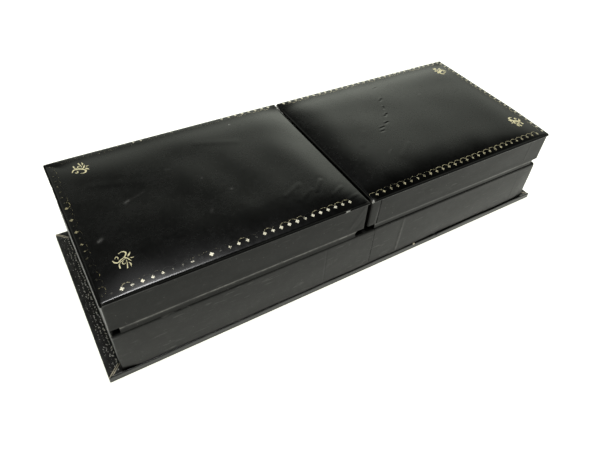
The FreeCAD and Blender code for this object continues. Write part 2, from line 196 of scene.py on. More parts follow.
# Faint wrinkles: start x, start y, end x, end y, half width, height.
LEATHER_WRINKLES = {
    "left": (
        (-38.0, -30.0, -28.0, -25.0, 1.4, 0.09),
        (-33.0, -36.0, -24.0, -31.0, 1.2, 0.09),
        (-22.0, -33.0, -16.0, -27.0, 1.1, 0.17),
        (-16.5, -39.5, -8.5, -35.5, 1.0, 0.15),
        (-11.5, -45.0, -3.5, -43.0, 0.9, 0.13),
        (-120.0, 20.0, -96.0, 12.0, 2.2, 0.05),
        (-60.0, 30.0, -40.0, 22.0, 2.5, 0.05),
    ),
    "right": (
        (36.0, -30.0, 47.0, -22.0, 1.6, 0.05),
        (22.0, -12.0, 30.0, -2.0, 2.0, 0.04),
    ),
}
# Wear of the border's motifs in the order it is drawn: count, least and most wear, then the numbers of
# rubbed, half-rubbed and fresh motifs, and for some rows a first stretch with its own least and most.
BORDER_WEAR = {
    "left": {
        "hinge": (28, 0.26, 0.46, (12, 16, 18, 20, 21, 27), (6, 15, 19, 22, 23, 25), (7, 8, 9, 17)),
        "hinge_scallops": (27, 0.93, 1.0, (), (0, 1, 2, 3, 4, 6, 7, 8, 10, 13, 25)),
        "end": (22, 0.84, 0.99, (0, 19, 20, 21), (7, 9, 11, 13)),
        "end_scallops": (21, 0.86, 1.0, (), (13,)),
        "opening": (29, 0.84, 0.98, (), (18, 19), (0, 1, 2), (8, 0.25, 0.5)),
        "opening_scallops": (28, 0.84, 0.98, (), (0, 1, 2, 4)),
    },
    "right": {
        "hinge": (28, 0.42, 0.60, (), (2, 3, 5, 7)),
        "hinge_scallops": (27, 0.30, 0.52, (), (), (), (9, 0.66, 0.84)),
        "end": (22, 0.30, 0.50),
        "end_scallops": (21, 0.45, 0.75),
        "opening": (30, 0.26, 0.46),
        "opening_scallops": (29, 0.45, 0.80),
    },
}
# Roll along the hinge side: first flower's x, stretch of the pitch, drop towards the edge, dullness of
# flowers and scallops, and sway at its beginning.
HINGE_ROLL = {
    "left": (-11.6, 1.0, 0.0, (0.0, 0.68), (0.8, 0.6)),
    "right": (5.6, 1.033, 0.45, (0.60, 0.68), (0.0, 0.0)),
}
# A scallop leads up to the first flower of the right lid's roll: x of its start, and its wear.
FIRST_SCALLOP = (1.2, 0.62)
# The other rolls: dullness of flowers and scallops at the outer ends, first flower's x on the opening side.
END_DULL = {"left": (0.75, 0.9), "right": (0.2, 0.6)}
OPENING_START = {"left": -6.4, "right": 4.6}
# Corner sprays: x of their middle, size, wear, then y of the middle, way up and boldness of each.
SPRAY_X = {"left": -119.8, "right": 123.2}
SPRAY_SIZE = 1.15
SPRAY_WEAR = {"left": 0.10, "right": 0.08}
SPRAYS = {
    "left": ((35.6, -1.0, 0.95), (-33.0, 1.0, 0.70)),
    "right": ((35.6, -1.0, 1.45), (-33.0, 1.0, 1.45)),
}
SPRAY_GOLD = (1.0, 0.92, 0.58)
# Gold marks on the base, outwards from the tray: distance, step, size, least and most wear.
BASE_MARKS = ((1.0, 1.8, 1.25, 0.20, 0.56), (2.7, 1.5, 0.9, 0.46, 0.82), (4.3, 1.3, 0.7, 0.58, 1.0))
BASE_GOLD = (0.80, 0.79, 0.74)
# Soft lights in metres: place, aim and size.
LAMP = ((-0.03, -0.08, 1.55), (-0.03, 0.0, 0.03), 0.26)
WINDOW = ((-0.14, 0.46, 1.40), (-0.14, 0.0, 0.03), 0.55)
# Surround from the horizon up: height and share of the light.
SURROUND_STOPS = (
    (0.0, 1.0), (0.45, 1.0), (0.53, 0.85), (0.57, 0.45),
    (0.61, 0.13), (0.66, 0.038), (0.75, 0.020), (1.0, 0.016),
)
# Strokes of one corner spray: points from the spray's middle, then half widths at start, middle and end.
SPRAY_STROKES = (
    (((-1.0, 3.2), (0.5, 3.6), (1.6, 2.7), (1.3, 1.5), (0.4, 0.6)), (0.12, 0.48, 0.30)),
    (((-3.9, 1.0), (-3.4, -0.2), (-2.4, -0.8), (-1.3, -0.4)), (0.20, 0.50, 0.24)),
    (((-2.0, -0.5), (-0.8, 0.1), (0.5, 0.6)), (0.22, 0.30, 0.26)),
    (((-1.6, -1.1), (-0.4, -0.6), (0.9, -0.1)), (0.16, 0.26, 0.18)),
    (((0.4, 0.6), (1.3, -0.4), (1.8, -1.4), (2.1, -2.3)), (0.28, 0.40, 0.12)),
    (((1.7, 0.4), (2.3, 1.0), (3.2, 2.1)), (0.22, 0.62, 0.08)),
    (((2.3, -0.5), (2.9, -0.9), (3.6, -0.8)), (0.12, 0.34, 0.10)),
    (((-1.6, -1.2), (-2.3, -2.2), (-2.4, -3.8)), (0.16, 0.26, 0.46)),
    (((-0.4, -1.0), (-1.0, -1.8), (-0.6, -2.5), (0.2, -2.2)), (0.14, 0.28, 0.12)),
    (((0.7, -0.9), (0.5, -2.8), (-0.1, -4.9)), (0.14, 0.20, 0.40)),
    (((1.2, -2.4), (1.6, -3.5), (1.4, -4.7)), (0.10, 0.44, 0.14)),
    (((-2.9, 1.4), (-2.2, 2.2), (-1.6, 1.5), (-1.9, 0.8)), (0.14, 0.34, 0.12)),
)


class LeatherTopSettings(bpy.types.PropertyGroup):
    """Black leather stretched over the two padded tops."""

    shoulder: bpy.props.FloatProperty(
        name="Shoulder", description="How far in from the edge the padding still slopes",
        default=0.026, unit="LENGTH")
    rise: bpy.props.FloatProperty(
        name="Rise", description="Height of the padding above the edge of the leather",
        default=0.0026, unit="LENGTH")
    lip: bpy.props.FloatProperty(
        name="Lip", description="Radius of the leather's turned edge",
        default=0.0014, unit="LENGTH")
    corner: bpy.props.FloatProperty(
        name="Corner", description="Plan radius of the top's corners",
        default=0.00045, unit="LENGTH")
    unevenness: bpy.props.FloatProperty(
        name="Unevenness", description="Height of the padding's slow waves",
        default=0.00011, unit="LENGTH")
    colour: bpy.props.FloatVectorProperty(
        name="Leather", description="Dyed black of the leather",
        default=(0.0026, 0.0027, 0.0026), subtype="COLOR")
    rub_and_highlight_colour: bpy.props.FloatVectorProperty(
        name="Rubbed leather", description="Grey of rubbed edges and scuffs",
        default=(0.20, 0.195, 0.18), subtype="COLOR")
    gloss: bpy.props.FloatProperty(
        name="Roughness", description="Mean roughness of the polished grain",
        default=0.25, min=0, max=1, subtype="FACTOR")


class GoldToolingSettings(bpy.types.PropertyGroup):
    """Gold leaf pressed into the leather with a roll and a corner tool."""

    pitch: bpy.props.FloatProperty(
        name="Pitch", description="Distance between neighbouring flowers of the roll",
        default=0.00437, unit="LENGTH")
    flower: bpy.props.FloatProperty(
        name="Flower", description="Half width of a four-petalled flower",
        default=0.00098, unit="LENGTH")
    arch: bpy.props.FloatProperty(
        name="Arch", description="Height of the scallop above the flowers' middle",
        default=0.00205, unit="LENGTH")
    line: bpy.props.FloatProperty(
        name="Line", description="Half width of the scallop's line",
        default=0.000095, unit="LENGTH")
    hinge_inset: bpy.props.FloatProperty(
        name="Hinge edge", description="Border to the edge on the hinge side",
        default=0.0036, unit="LENGTH")
    end_inset: bpy.props.FloatProperty(
        name="End edge", description="Border to the edge at the outer ends",
        default=0.0027, unit="LENGTH")
    opening_inset: bpy.props.FloatProperty(
        name="Opening edge", description="Border to the edge on the opening side",
        default=0.0022, unit="LENGTH")
    lift: bpy.props.FloatProperty(
        name="Leaf", description="Height of the leaf above the leather",
        default=0.00005, unit="LENGTH")
    colour: bpy.props.FloatVectorProperty(
        name="Gold leaf", description="Pale gold of the leaf",
        default=(0.98, 0.94, 0.76), subtype="COLOR")
    dull_colour: bpy.props.FloatVectorProperty(
        name="Dull leaf", description="Leaf that has lost its shine",
        default=(0.40, 0.34, 0.14), subtype="COLOR")


class LeatheretteSettings(bpy.types.PropertyGroup):
    """Black leatherette round the lids, the tray and the hinges, and the leather of the base."""

    skin: bpy.props.FloatProperty(
        name="Skin", description="Thickness of the covering",
        default=0.0005, unit="LENGTH")
    bead: bpy.props.FloatProperty(
        name="Bead", description="How far the lids' lower hem stands out",
        default=0.00005, unit="LENGTH")
    flare: bpy.props.FloatProperty(
        name="Flare", description="How far the tray's foot spreads on the hinge side",
        default=0.0011, unit="LENGTH")
    sag: bpy.props.FloatProperty(
        name="Web sag", description="How far the left hinge web curves inwards",
        default=0.00050, unit="LENGTH")
    colour: bpy.props.FloatVectorProperty(
        name="Leatherette", description="Black of the covering",
        default=(0.0030, 0.0030, 0.0028), subtype="COLOR")
    # This grey is also painted as a highlight along the hinge webs' fold and the tray's ridge.
    rub_and_highlight_colour: bpy.props.FloatVectorProperty(
        name="Rubbed leatherette", description="Grey of rubbed hems and corners",
        default=(0.22, 0.215, 0.20), subtype="COLOR")
    raw_colour: bpy.props.FloatVectorProperty(
        name="Raw edge", description="Cut edge of the leather at the base's mitres",
        default=(0.80, 0.72, 0.54), subtype="COLOR")
    gloss: bpy.props.FloatProperty(
        name="Roughness", description="Mean roughness of the covering",
        default=0.33, min=0, max=1, subtype="FACTOR")


class LiningSettings(bpy.types.PropertyGroup):
    """Velvet beds, satin lid linings and the papers and boards behind them."""

    edge_round: bpy.props.FloatProperty(
        name="Bed edge", description="Softness of the velvet at the edge of a slot",
        default=0.0018, unit="LENGTH")
    tuck: bpy.props.FloatProperty(
        name="Tucks", description="Depth of the small tucks round the satin",
        default=0.00035, unit="LENGTH")
    velvet: bpy.props.FloatVectorProperty(
        name="Velvet", description="Pile of the beds",
        default=(0.030, 0.036, 0.120), subtype="COLOR")
    satin: bpy.props.FloatVectorProperty(
        name="Satin", description="Satin of the lid linings",
        default=(0.070, 0.085, 0.250), subtype="COLOR")
    paper: bpy.props.FloatVectorProperty(
        name="Black paper", description="Paper on the necks and under the base",
        default=(0.010, 0.010, 0.0105), subtype="COLOR")
    board: bpy.props.FloatVectorProperty(
        name="Grey board", description="Board inside the walls",
        default=(0.32, 0.29, 0.25), subtype="COLOR")


class StageSettings(bpy.types.PropertyGroup):
    """Pale floor, soft light and the camera."""

    floor: bpy.props.FloatVectorProperty(
        name="Floor", description="Pale floor",
        default=(0.94, 0.94, 0.93), subtype="COLOR")
    glow: bpy.props.FloatProperty(
        name="Floor glow", description="Even light of the floor itself",
        default=0.66, min=0)
    surround: bpy.props.FloatProperty(
        name="Surround", description="Brightness of the surround near the horizon",
        default=1.5, min=0)
    far_share: bpy.props.FloatProperty(
        name="Far share",
        description="Share of the surround's light that comes from away from its bright side",
        default=0.42, min=0, max=1, subtype="FACTOR")
    bright_side: bpy.props.FloatProperty(
        name="Bright side", description="Turn from the opening side to the surround's bright side",
        default=math.radians(35.2), subtype="ANGLE")
    key_power: bpy.props.FloatProperty(
        name="Lamp", description="Power of the soft lamp above the case",
        default=14.0, min=0, unit="POWER")
    window_power: bpy.props.FloatProperty(
        name="Window", description="Power of the wide soft light behind the case",
        default=0.65, min=0, unit="POWER")
    camera_place: bpy.props.FloatVectorProperty(
        name="Camera", description="Place of the camera",
        default=(-0.139915, -0.192262, 0.224059), subtype="XYZ", unit="LENGTH")
    azimuth: bpy.props.FloatProperty(
        name="Azimuth", description="Camera's turn round the case",
        default=math.radians(-34.507), subtype="ANGLE")
    elevation: bpy.props.FloatProperty(
        name="Elevation", description="Camera's height above the horizon",
        default=math.radians(44.428), subtype="ANGLE")
    roll: bpy.props.FloatProperty(
        name="Roll", description="Camera's tilt about its own line of sight",
        default=math.radians(4.908), subtype="ANGLE")
    lens: bpy.props.FloatProperty(
        name="Lens", description="Focal length on a 36 mm sensor, in millimetres",
        default=31.0065, min=1)


class DraftingCaseSettings(bpy.types.PropertyGroup):
    """All the sizes and colours of the dressed case."""

    tops: bpy.props.PointerProperty(
        name="Tops", description="Padded leather tops", type=LeatherTopSettings)
    gold: bpy.props.PointerProperty(
        name="Gold", description="Gold borders and sprays", type=GoldToolingSettings)
    wraps: bpy.props.PointerProperty(
        name="Wraps", description="Coverings of lids, tray, hinges and base", type=LeatheretteSettings)
    linings: bpy.props.PointerProperty(
        name="Linings", description="Beds, linings, papers and boards", type=LiningSettings)
    stage: bpy.props.PointerProperty(
        name="Stage", description="Floor, light and camera", type=StageSettings)


def box_mm(node):
    """Lowest and highest corner of a node of the frame, in millimetres."""
    low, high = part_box(node)
    return np.array(low) / MM, np.array(high) / MM


def add_node(tree, kind, inputs=None, **values):
    """Add a shader node, set its own values and fill or link its inputs."""
    node = tree.nodes.new(kind)
    for name, value in values.items():
        setattr(node, name, value)
    for name, value in (inputs or {}).items():
        if isinstance(value, bpy.types.NodeSocket):
            tree.links.new(value, node.inputs[name])
        else:
            node.inputs[name].default_value = value
    return node


def new_finish(name):
    """An empty material with one principled shader, and the object's own coordinates."""
    material = bpy.data.materials.new(name)
    material.use_nodes = True
    tree = material.node_tree
    tree.nodes.clear()
    shader = add_node(tree, "ShaderNodeBsdfPrincipled")
    add_node(tree, "ShaderNodeOutputMaterial", {"Surface": shader.outputs["BSDF"]})
    place = add_node(tree, "ShaderNodeTexCoord").outputs["Object"]
    return material, tree, shader, place


def grain(tree, place, size, detail=2.0, rough=0.5):
    """Noise whose lumps are about size millimetres across."""
    inputs = {"Vector": place, "Scale": 1 / (size * MM), "Detail": detail, "Roughness": rough}
    return add_node(tree, "ShaderNodeTexNoise", inputs).outputs["Fac"]


def stretched(tree, place, x, y, z):
    """Coordinates drawn out along an axis, for streaks."""
    inputs = {"Vector": place, "Scale": (x, y, z)}
    return add_node(tree, "ShaderNodeMapping", inputs).outputs["Vector"]


def remap(tree, value, low, high, new_low, new_high):
    """Spread a value over a new range, clamped at both ends."""
    inputs = {"Value": value, "From Min": low, "From Max": high, "To Min": new_low, "To Max": new_high}
    return add_node(tree, "ShaderNodeMapRange", inputs).outputs["Result"]


def combine(tree, operation, first, second):
    """One step of arithmetic on two values."""
    inputs = {0: first, 1: second}
    return add_node(tree, "ShaderNodeMath", inputs, operation=operation).outputs[0]


def tint(tree, share, first, second):
    """Mix two colours by a share; either may be a colour or a socket."""
    inputs = {"Factor": share, 6: with_alpha(first), 7: with_alpha(second)}
    return add_node(tree, "ShaderNodeMix", inputs, data_type="RGBA").outputs[2]


def with_alpha(colour):
    """A colour with four parts, or the socket unchanged."""
    if isinstance(colour, bpy.types.NodeSocket):
        return colour
    return (*colour[:3], 1.0)


def painted(tree, name):
    """A value painted on the points of the mesh."""
    return add_node(tree, "ShaderNodeAttribute", attribute_name=name).outputs["Fac"]


def relief(tree, shader, height, strength, depth):
    """Raise the surface by a height given in millimetres at full white."""
    inputs = {"Height": height, "Strength": strength, "Distance": depth * MM}
    bump = add_node(tree, "ShaderNodeBump", inputs)
    tree.links.new(bump.outputs["Normal"], shader.inputs["Normal"])


def use(tree, shader, **sockets):
    """Set or link the shader's sockets; underscores stand for spaces."""
    for name, value in sockets.items():
        socket = shader.inputs[name.replace("_", " ")]
        if isinstance(value, bpy.types.NodeSocket):
            tree.links.new(value, socket)
        else:
            socket.default_value = value


def top_leather_finish(name, look):
    """Smooth black leather with a fine grain, slow polish marks, rubbed edges and scuffs."""
    material, tree, shader, place = new_finish(name)
    slow = grain(tree, place, 14.0, 3.0)
    patches = grain(tree, place, 2.2, 4.0, 0.6)
    pores = grain(tree, place, 0.45, 3.0, 0.6)
    cells = {"Vector": place, "Scale": 1 / (0.9 * MM)}
    pebbles = add_node(tree, "ShaderNodeTexVoronoi", cells, feature="SMOOTH_F1")
    darker = tuple(0.55 * part for part in look.colour)
    dyed = tint(tree, remap(tree, slow, 0.3, 0.7, 0.0, 1.0), darker, look.colour)
    rub_and_highlight = combine(tree, "MULTIPLY", painted(tree, "rub_and_highlight"), remap(tree, patches, 0.35, 0.65, 0.1, 1.0))
    rubbed = tint(tree, rub_and_highlight, dyed, look.rub_and_highlight_colour)
    fleck = combine(tree, "MULTIPLY", painted(tree, "scuff"), remap(tree, pores, 0.35, 0.6, 0.15, 1.0))
    use(tree, shader, Base_Color=tint(tree, fleck, rubbed, (0.62, 0.61, 0.58)))
    polish = remap(tree, combine(tree, "ADD", slow, patches), 0.7, 1.3, look.gloss - 0.03, look.gloss + 0.05)
    duller = combine(tree, "MULTIPLY_ADD", fleck, 0.25)
    tree.links.new(polish, duller.node.inputs[2])
    smoother = combine(tree, "MULTIPLY", painted(tree, "pressed"), 0.11)
    use(tree, shader, Roughness=combine(tree, "SUBTRACT", duller, smoother), Specular_IOR_Level=0.43, IOR=1.5)
    skin = combine(tree, "ADD", combine(tree, "MULTIPLY", pores, 0.6), pebbles.outputs["Distance"])
    relief(tree, shader, skin, 0.10, 0.05)
    return material


def leatherette_finish(name, look, along, shine, dust):
    """Black leatherette paper: fine crossed grain, faint streaks along the sheet, dust, rubbed hems and
    painted highlights.
    """
    material, tree, shader, place = new_finish(name)
    slow = grain(tree, place, 18.0, 3.0)
    patches = grain(tree, place, 2.6, 4.0, 0.6)
    streaks = grain(tree, stretched(tree, place, *along), 1.2, 2.0)
    pores = grain(tree, place, 0.38, 3.0, 0.6)
    darker = tuple(0.4 * part for part in look.colour)
    dyed = tint(tree, remap(tree, slow, 0.3, 0.7, 0.0, 1.0), darker, look.colour)
    dots = remap(tree, pores, 0.42, 0.75, 0.0, 1.0)
    specks = combine(tree, "MULTIPLY", dots, remap(tree, patches, 0.35, 0.65, 0.2, 1.0))
    dusty = tint(tree, specks, dyed, (dust, dust, 0.92 * dust))
    flecks = remap(tree, grain(tree, place, 1.5, 1.0), 0.735, 0.775, 0.0, 0.6)
    dusty = tint(tree, flecks, dusty, (0.10, 0.10, 0.09))
    stains = remap(tree, grain(tree, place, 5.0, 5.0, 0.65), 0.42, 0.60, 0.0, 1.0)
    dusty = tint(tree, stains, dyed, dusty)
    lines = remap(tree, streaks, 0.60, 0.72, 0.0, 1.0)
    scratches = combine(tree, "MULTIPLY", lines, remap(tree, slow, 0.45, 0.65, 0.0, 1.0))
    dusty = tint(tree, scratches, dusty, (1.8 * dust, 1.8 * dust, 1.7 * dust))
    # The painted value tints towards the grey: rubbed hems and corners, and painted highlights along the
    # webs' fold and the tray's ridge.
    rub_and_highlight = combine(tree, "MULTIPLY", painted(tree, "rub_and_highlight"), remap(tree, patches, 0.35, 0.65, 0.15, 1.0))
    use(tree, shader, Base_Color=tint(tree, rub_and_highlight, dusty, look.rub_and_highlight_colour))
    polish = remap(tree, combine(tree, "ADD", slow, streaks), 0.7, 1.3, look.gloss - 0.04, look.gloss + 0.06)
    use(tree, shader, Roughness=polish, Specular_IOR_Level=shine, IOR=1.5)
    skin = combine(tree, "ADD", pores, combine(tree, "MULTIPLY", streaks, 0.5))
    relief(tree, shader, skin, 0.12, 0.05)
    return material


def gold_leaf_finish(name, colour, look, leather):
    """Gold leaf that has rubbed off in places down to the tooled leather."""
    material, tree, shader, place = new_finish(name)
    flakes = grain(tree, place, 0.55, 3.0, 0.65)
    bloom = grain(tree, place, 6.0, 2.0)
    rubbed = remap(tree, painted(tree, "wear"), 0.0, 1.0, 0.20, 0.66)
    left = remap(tree, combine(tree, "SUBTRACT", flakes, rubbed), -0.04, 0.04, 0.0, 1.0)
    leaf = tint(tree, remap(tree, bloom, 0.35, 0.65, 0.0, 0.25), colour, look.dull_colour)
    faded = tint(tree, painted(tree, "dull"), leaf, look.dull_colour)
    tooled = tuple(1.2 * part for part in leather.colour)
    use(tree, shader, Base_Color=tint(tree, left, tooled, faded))
    use(tree, shader, Metallic=remap(tree, left, 0.0, 1.0, 0.0, 0.2))
    use(tree, shader, Roughness=remap(tree, left, 0.0, 1.0, 0.28, 0.40), Specular_IOR_Level=0.5, IOR=1.5)
    relief(tree, shader, flakes, 0.15, 0.03)
    return material


def raw_edge_finish(name, look):
    """Pale cut edge of leather and board."""
    material, tree, shader, place = new_finish(name)
    fibres = grain(tree, place, 0.5, 4.0, 0.7)
    darker = tuple(0.45 * part for part in look.raw_colour)
    cut = remap(tree, fibres, 0.35, 0.65, 0.0, 1.0)
    use(tree, shader, Base_Color=tint(tree, cut, darker, look.raw_colour))
    use(tree, shader, Roughness=0.8)
    relief(tree, shader, fibres, 0.4, 0.08)
    return material


def painted_shade_finish(name):
    """Unpolished matt black, painted as shade on narrow recesses, seams and lips where little light reaches
    the covering.
    """
    material, tree, shader, place = new_finish(name)
    fibres = grain(tree, place, 0.6, 3.0, 0.6)
    shade = remap(tree, fibres, 0.3, 0.7, 0.0, 1.0)
    use(tree, shader, Base_Color=tint(tree, shade, (0.001, 0.001, 0.001), (0.004, 0.004, 0.004)))
    use(tree, shader, Roughness=remap(tree, fibres, 0.3, 0.7, 0.85, 0.95), Specular_IOR_Level=0.06)
    relief(tree, shader, fibres, 0.3, 0.05)
    return material


def velvet_finish(name, look):
    """Dark velvet: a deep pile with brushed patches and a soft sheen."""
    material, tree, shader, place = new_finish(name)
    pile = grain(tree, place, 0.30, 2.0, 0.7)
    brushed = grain(tree, stretched(tree, place, 1.0, 0.4, 0.6), 9.0, 3.0)
    darker = tuple(0.45 * part for part in look.velvet)
    nap = remap(tree, pile, 0.3, 0.7, 0.6, 1.0)
    brushed_pile = combine(tree, "MULTIPLY", remap(tree, brushed, 0.3, 0.7, 0.25, 1.0), nap)
    use(tree, shader, Base_Color=tint(tree, brushed_pile, darker, look.velvet))
    use(tree, shader, Roughness=0.9, Specular_IOR_Level=0.15)
    use(tree, shader, Sheen_Weight=0.8, Sheen_Roughness=0.35, Sheen_Tint=(0.35, 0.42, 0.95, 1.0))
    relief(tree, shader, pile, 0.5, 0.15)
    return material


def satin_finish(name, look):
    """Blue satin with its close weave and long floats."""
    material, tree, shader, place = new_finish(name)
    floats = grain(tree, stretched(tree, place, 0.12, 1.0, 1.0), 0.22, 2.0)
    cloud = grain(tree, place, 11.0, 3.0)
    darker = tuple(0.6 * part for part in look.satin)
    weave = remap(tree, combine(tree, "ADD", floats, cloud), 0.7, 1.3, 0.0, 1.0)
    use(tree, shader, Base_Color=tint(tree, weave, darker, look.satin))
    use(tree, shader, Roughness=remap(tree, floats, 0.3, 0.7, 0.30, 0.42))
    use(tree, shader, Specular_IOR_Level=0.6, Anisotropic=0.4)
    use(tree, shader, Sheen_Weight=0.25, Sheen_Roughness=0.4)
    relief(tree, shader, floats, 0.2, 0.04)
    return material


def fibre_finish(name, colour, roughness, size, drawn, depth):
    """Paper, board or stained wood: fibres of a size, drawn out along one axis."""
    material, tree, shader, place = new_finish(name)
    fibres = grain(tree, stretched(tree, place, *drawn), size, 4.0, 0.65)
    cloud = grain(tree, place, 9.0, 2.0)
    darker = tuple(0.6 * part for part in colour)
    mottle = remap(tree, combine(tree, "ADD", fibres, cloud), 0.7, 1.3, 0.0, 1.0)
    use(tree, shader, Base_Color=tint(tree, mottle, darker, colour))
    use(tree, shader, Roughness=remap(tree, fibres, 0.3, 0.7, roughness - 0.06, roughness + 0.06))
    relief(tree, shader, fibres, 0.3, depth)
    return material


def finish_named(name, make, *words):
    """The material of that name, made the first time it is asked for."""
    return bpy.data.materials.get(name) or make(name, *words)


def covering(name, look):
    """The leatherette or leather of that name."""
    return finish_named(name, leatherette_finish, look, *COVERINGS[name])


def fibre(name, colour):
    """The paper, board or wood of that name."""
    return finish_named(name, fibre_finish, colour, *FIBRES[name])


def make_piece(name, points, faces, material, marks=None, crisp=50.0, shaded=()):
    """A smooth-shaded mesh object from points in millimetres. Shaded faces get the painted-shade matt black.
    """
    mesh = bpy.data.meshes.new(name)
    mesh.from_pydata((np.asarray(points) * MM).tolist(), [], faces)
    mesh.update()
    mesh.polygons.foreach_set("use_smooth", np.ones(len(mesh.polygons), bool))
    mesh.set_sharp_from_angle(angle=math.radians(crisp))
    for mark, values in (marks or {}).items():
        layer = mesh.attributes.new(mark, "FLOAT", "POINT")
        layer.data.foreach_set("value", np.asarray(values, np.float32))
    mesh.materials.append(material)
    if len(shaded):
        # Faces listed as shaded get a matt black that paints in shade.
        mesh.materials.append(finish_named("recess_black", painted_shade_finish))
        for face in shaded:
            mesh.polygons[face].material_index = 1
    piece = bpy.data.objects.new(name, mesh)
    bpy.context.scene.collection.objects.link(piece)
    return piece


def fit_piece(piece, body, stands_for=()):
    """Ride a finished piece on its body and hide the nodes it stands for."""
    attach(piece, body)
    if stands_for:
        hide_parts(*stands_for)
    return piece


def gentle_waves(x, y, name, length, count=9):
    """A smooth uneven field, about -1 to 1, the same on every run."""
    chance = np.random.default_rng(WAVE_SEEDS[name])
    total = np.zeros(np.shape(x))
    for _ in range(count):
        turn = chance.uniform(0, 2 * math.pi)
        wave = length * chance.uniform(0.7, 1.7)
        shift = chance.uniform(0, 2 * math.pi)
        total = total + np.sin(2 * math.pi * (x * math.cos(turn) + y * math.sin(turn)) / wave + shift)
    return total / count * 2


def line_distance(x, y, start_x, start_y, end_x, end_y):
    """Distance of points from a short straight line."""
    along_x, along_y = end_x - start_x, end_y - start_y
    length = along_x ** 2 + along_y ** 2
    share = np.clip(((x - start_x) * along_x + (y - start_y) * along_y) / length, 0, 1)
    return np.hypot(x - start_x - share * along_x, y - start_y - share * along_y)


def bell(distance, half_width):
    """A soft hump, 1 in the middle."""
    return np.exp(-((distance / half_width) ** 2))


def soft_step(distance, width):
    """1 before a line and 0 past it, changing over a short width."""
    return 0.5 - 0.5 * np.tanh(distance / width)


def spaced(length, step, fine=()):
    """Shares of a side from 0 to 1, about one step apart and closer at the fine places."""
    plain = np.linspace(0, length, max(2, round(length / step) + 1))
    near = (-1.0, -0.7, -0.45, -0.28, -0.14, 0.0, 0.14, 0.28, 0.45, 0.7, 1.0)
    extra = [place + offset for place in fine for offset in near if 0 < place + offset < length]
    return np.unique(np.round(np.concatenate([plain, extra]), 3)) / length


def wall_loop(plan, corner, inset, along_x, along_y, bends=7):
    """Points and outward directions round a rounded rectangle, anticlockwise from the hinge side's left."""
    x0, y0, x1, y1 = plan[0] + inset, plan[1] + inset, plan[2] - inset, plan[3] - inset
    radius = max(corner - inset, 0.12)
    xs = x0 + radius + along_x * (x1 - x0 - 2 * radius)
    ys = y0 + radius + along_y * (y1 - y0 - 2 * radius)
    quarter = np.linspace(0, math.pi / 2, bends + 1)[1:-1]
    runs = (
        (xs, np.full_like(xs, y0), (0, -1), (x1 - radius, y0 + radius), -math.pi / 2),
        (np.full_like(ys, x1), ys, (1, 0), (x1 - radius, y1 - radius), 0.0),
        (xs[::-1], np.full_like(xs, y1), (0, 1), (x0 + radius, y1 - radius), math.pi / 2),
        (np.full_like(ys, x0), ys[::-1], (-1, 0), (x0 + radius, y0 + radius), math.pi),
    )
    points, outward = [], []
    for side_x, side_y, out, centre, start in runs:
        points.append(np.column_stack([side_x, side_y]))
        outward.append(np.tile(np.array(out, float), (len(side_x), 1)))
        direction = np.column_stack([np.cos(start + quarter), np.sin(start + quarter)])
        points.append(np.array(centre) + radius * direction)
        outward.append(direction)
    return np.concatenate(points), np.concatenate(outward)


def ring_faces(rows, columns, closed=True):
    """Quads between stacked loops of points; closed also joins the last loop to the first."""
    faces = []
    for row in range(rows if closed else rows - 1):
        here, there = row * columns, (row + 1) % rows * columns
        for column in range(columns):
            beside = (column + 1) % columns
            faces.append((here + column, here + beside, there + beside, there + column))
    return faces


def point_grid(x, y, z):
    """Points of a height field with their numbers, and the numbers round its border, anticlockwise."""
    number = np.arange(x.size).reshape(x.shape)
    border = np.concatenate([number[:-1, 0], number[-1, :-1], number[:0:-1, -1], number[0, :0:-1]])
    return np.column_stack([x.ravel(), y.ravel(), z.ravel()]), number, border


def grid_faces(number):
    """Quads of a grid of point numbers, facing up."""
    corners = [number[:-1, :-1], number[1:, :-1], number[1:, 1:], number[:-1, 1:]]
    return np.stack(corners, -1).reshape(-1, 4).tolist()


def prism_faces(first, count, sides):
    """Faces of a closed prism whose rings of points follow one another from the first point."""
    faces = []
    for step in range(count - 1):
        here, there = first + sides * step, first + sides * (step + 1)
        for side in range(sides):
            beside = (side + 1) % sides
            faces.append((here + side, there + side, there + beside, here + beside))
    last = first + sides * (count - 1)
    faces.append(tuple(range(first, first + sides)))
    faces.append(tuple(range(last + sides - 1, last - 1, -1)))
    return faces


def skirt_faces(lower, upper):
    """Quads between two loops of point numbers."""
    beside = np.roll(np.arange(len(lower)), -1)
    return np.stack([lower, lower[beside], upper[beside], upper], -1).tolist()


def swept_wrap(plan, corner, profile, along_x, along_y, shape):
    """A covering swept round a plan. Profile rows are (inset, height, shows), shows being 1 or 0."""
    rows, shown = [], []
    for inset, height, shows in profile:
        plan_points, outward = wall_loop(plan, corner, inset, along_x, along_y)
        x, y = plan_points[:, 0], plan_points[:, 1]
        z = np.full(len(x), float(height))
        if shows:
            out, up = shape(x, y, z, outward)
            x, y, z = x + out * outward[:, 0], y + out * outward[:, 1], z + up
        rows.append(np.column_stack([x, y, z]))
        shown.append(np.full(len(x), float(shows)))
    return np.concatenate(rows), ring_faces(len(rows), len(rows[0])), np.concatenate(shown)


def hinge_side(outward):
    """1 on the wall that carries the hinge and 0 round the other sides."""
    return np.clip(-outward[:, 1], 0, 1)


def round_corners(edge_x, edge_y, zone, radius):
    """Distances from two edges, moved so that the square corner between them turns through a radius."""
    near = (edge_x < zone) & (edge_y < zone)
    first, second = 1 - edge_x / zone, 1 - edge_y / zone
    level = np.maximum(np.maximum(first, second), 1e-9)
    bend = radius / zone * level
    straight = level - bend
    walked = np.minimum(first, second) / level * (straight + bend * math.pi / 4)
    turn = np.maximum(walked - straight, 0) / bend
    outer = straight + bend * np.cos(turn)
    inner = np.where(walked <= straight, walked, straight + bend * np.sin(turn))
    new_first = np.where(first >= second, outer, inner)
    new_second = np.where(first >= second, inner, outer)
    moved_x = np.where(near, (1 - new_first) * zone, edge_x)
    moved_y = np.where(near, (1 - new_second) * zone, edge_y)
    return moved_x, moved_y


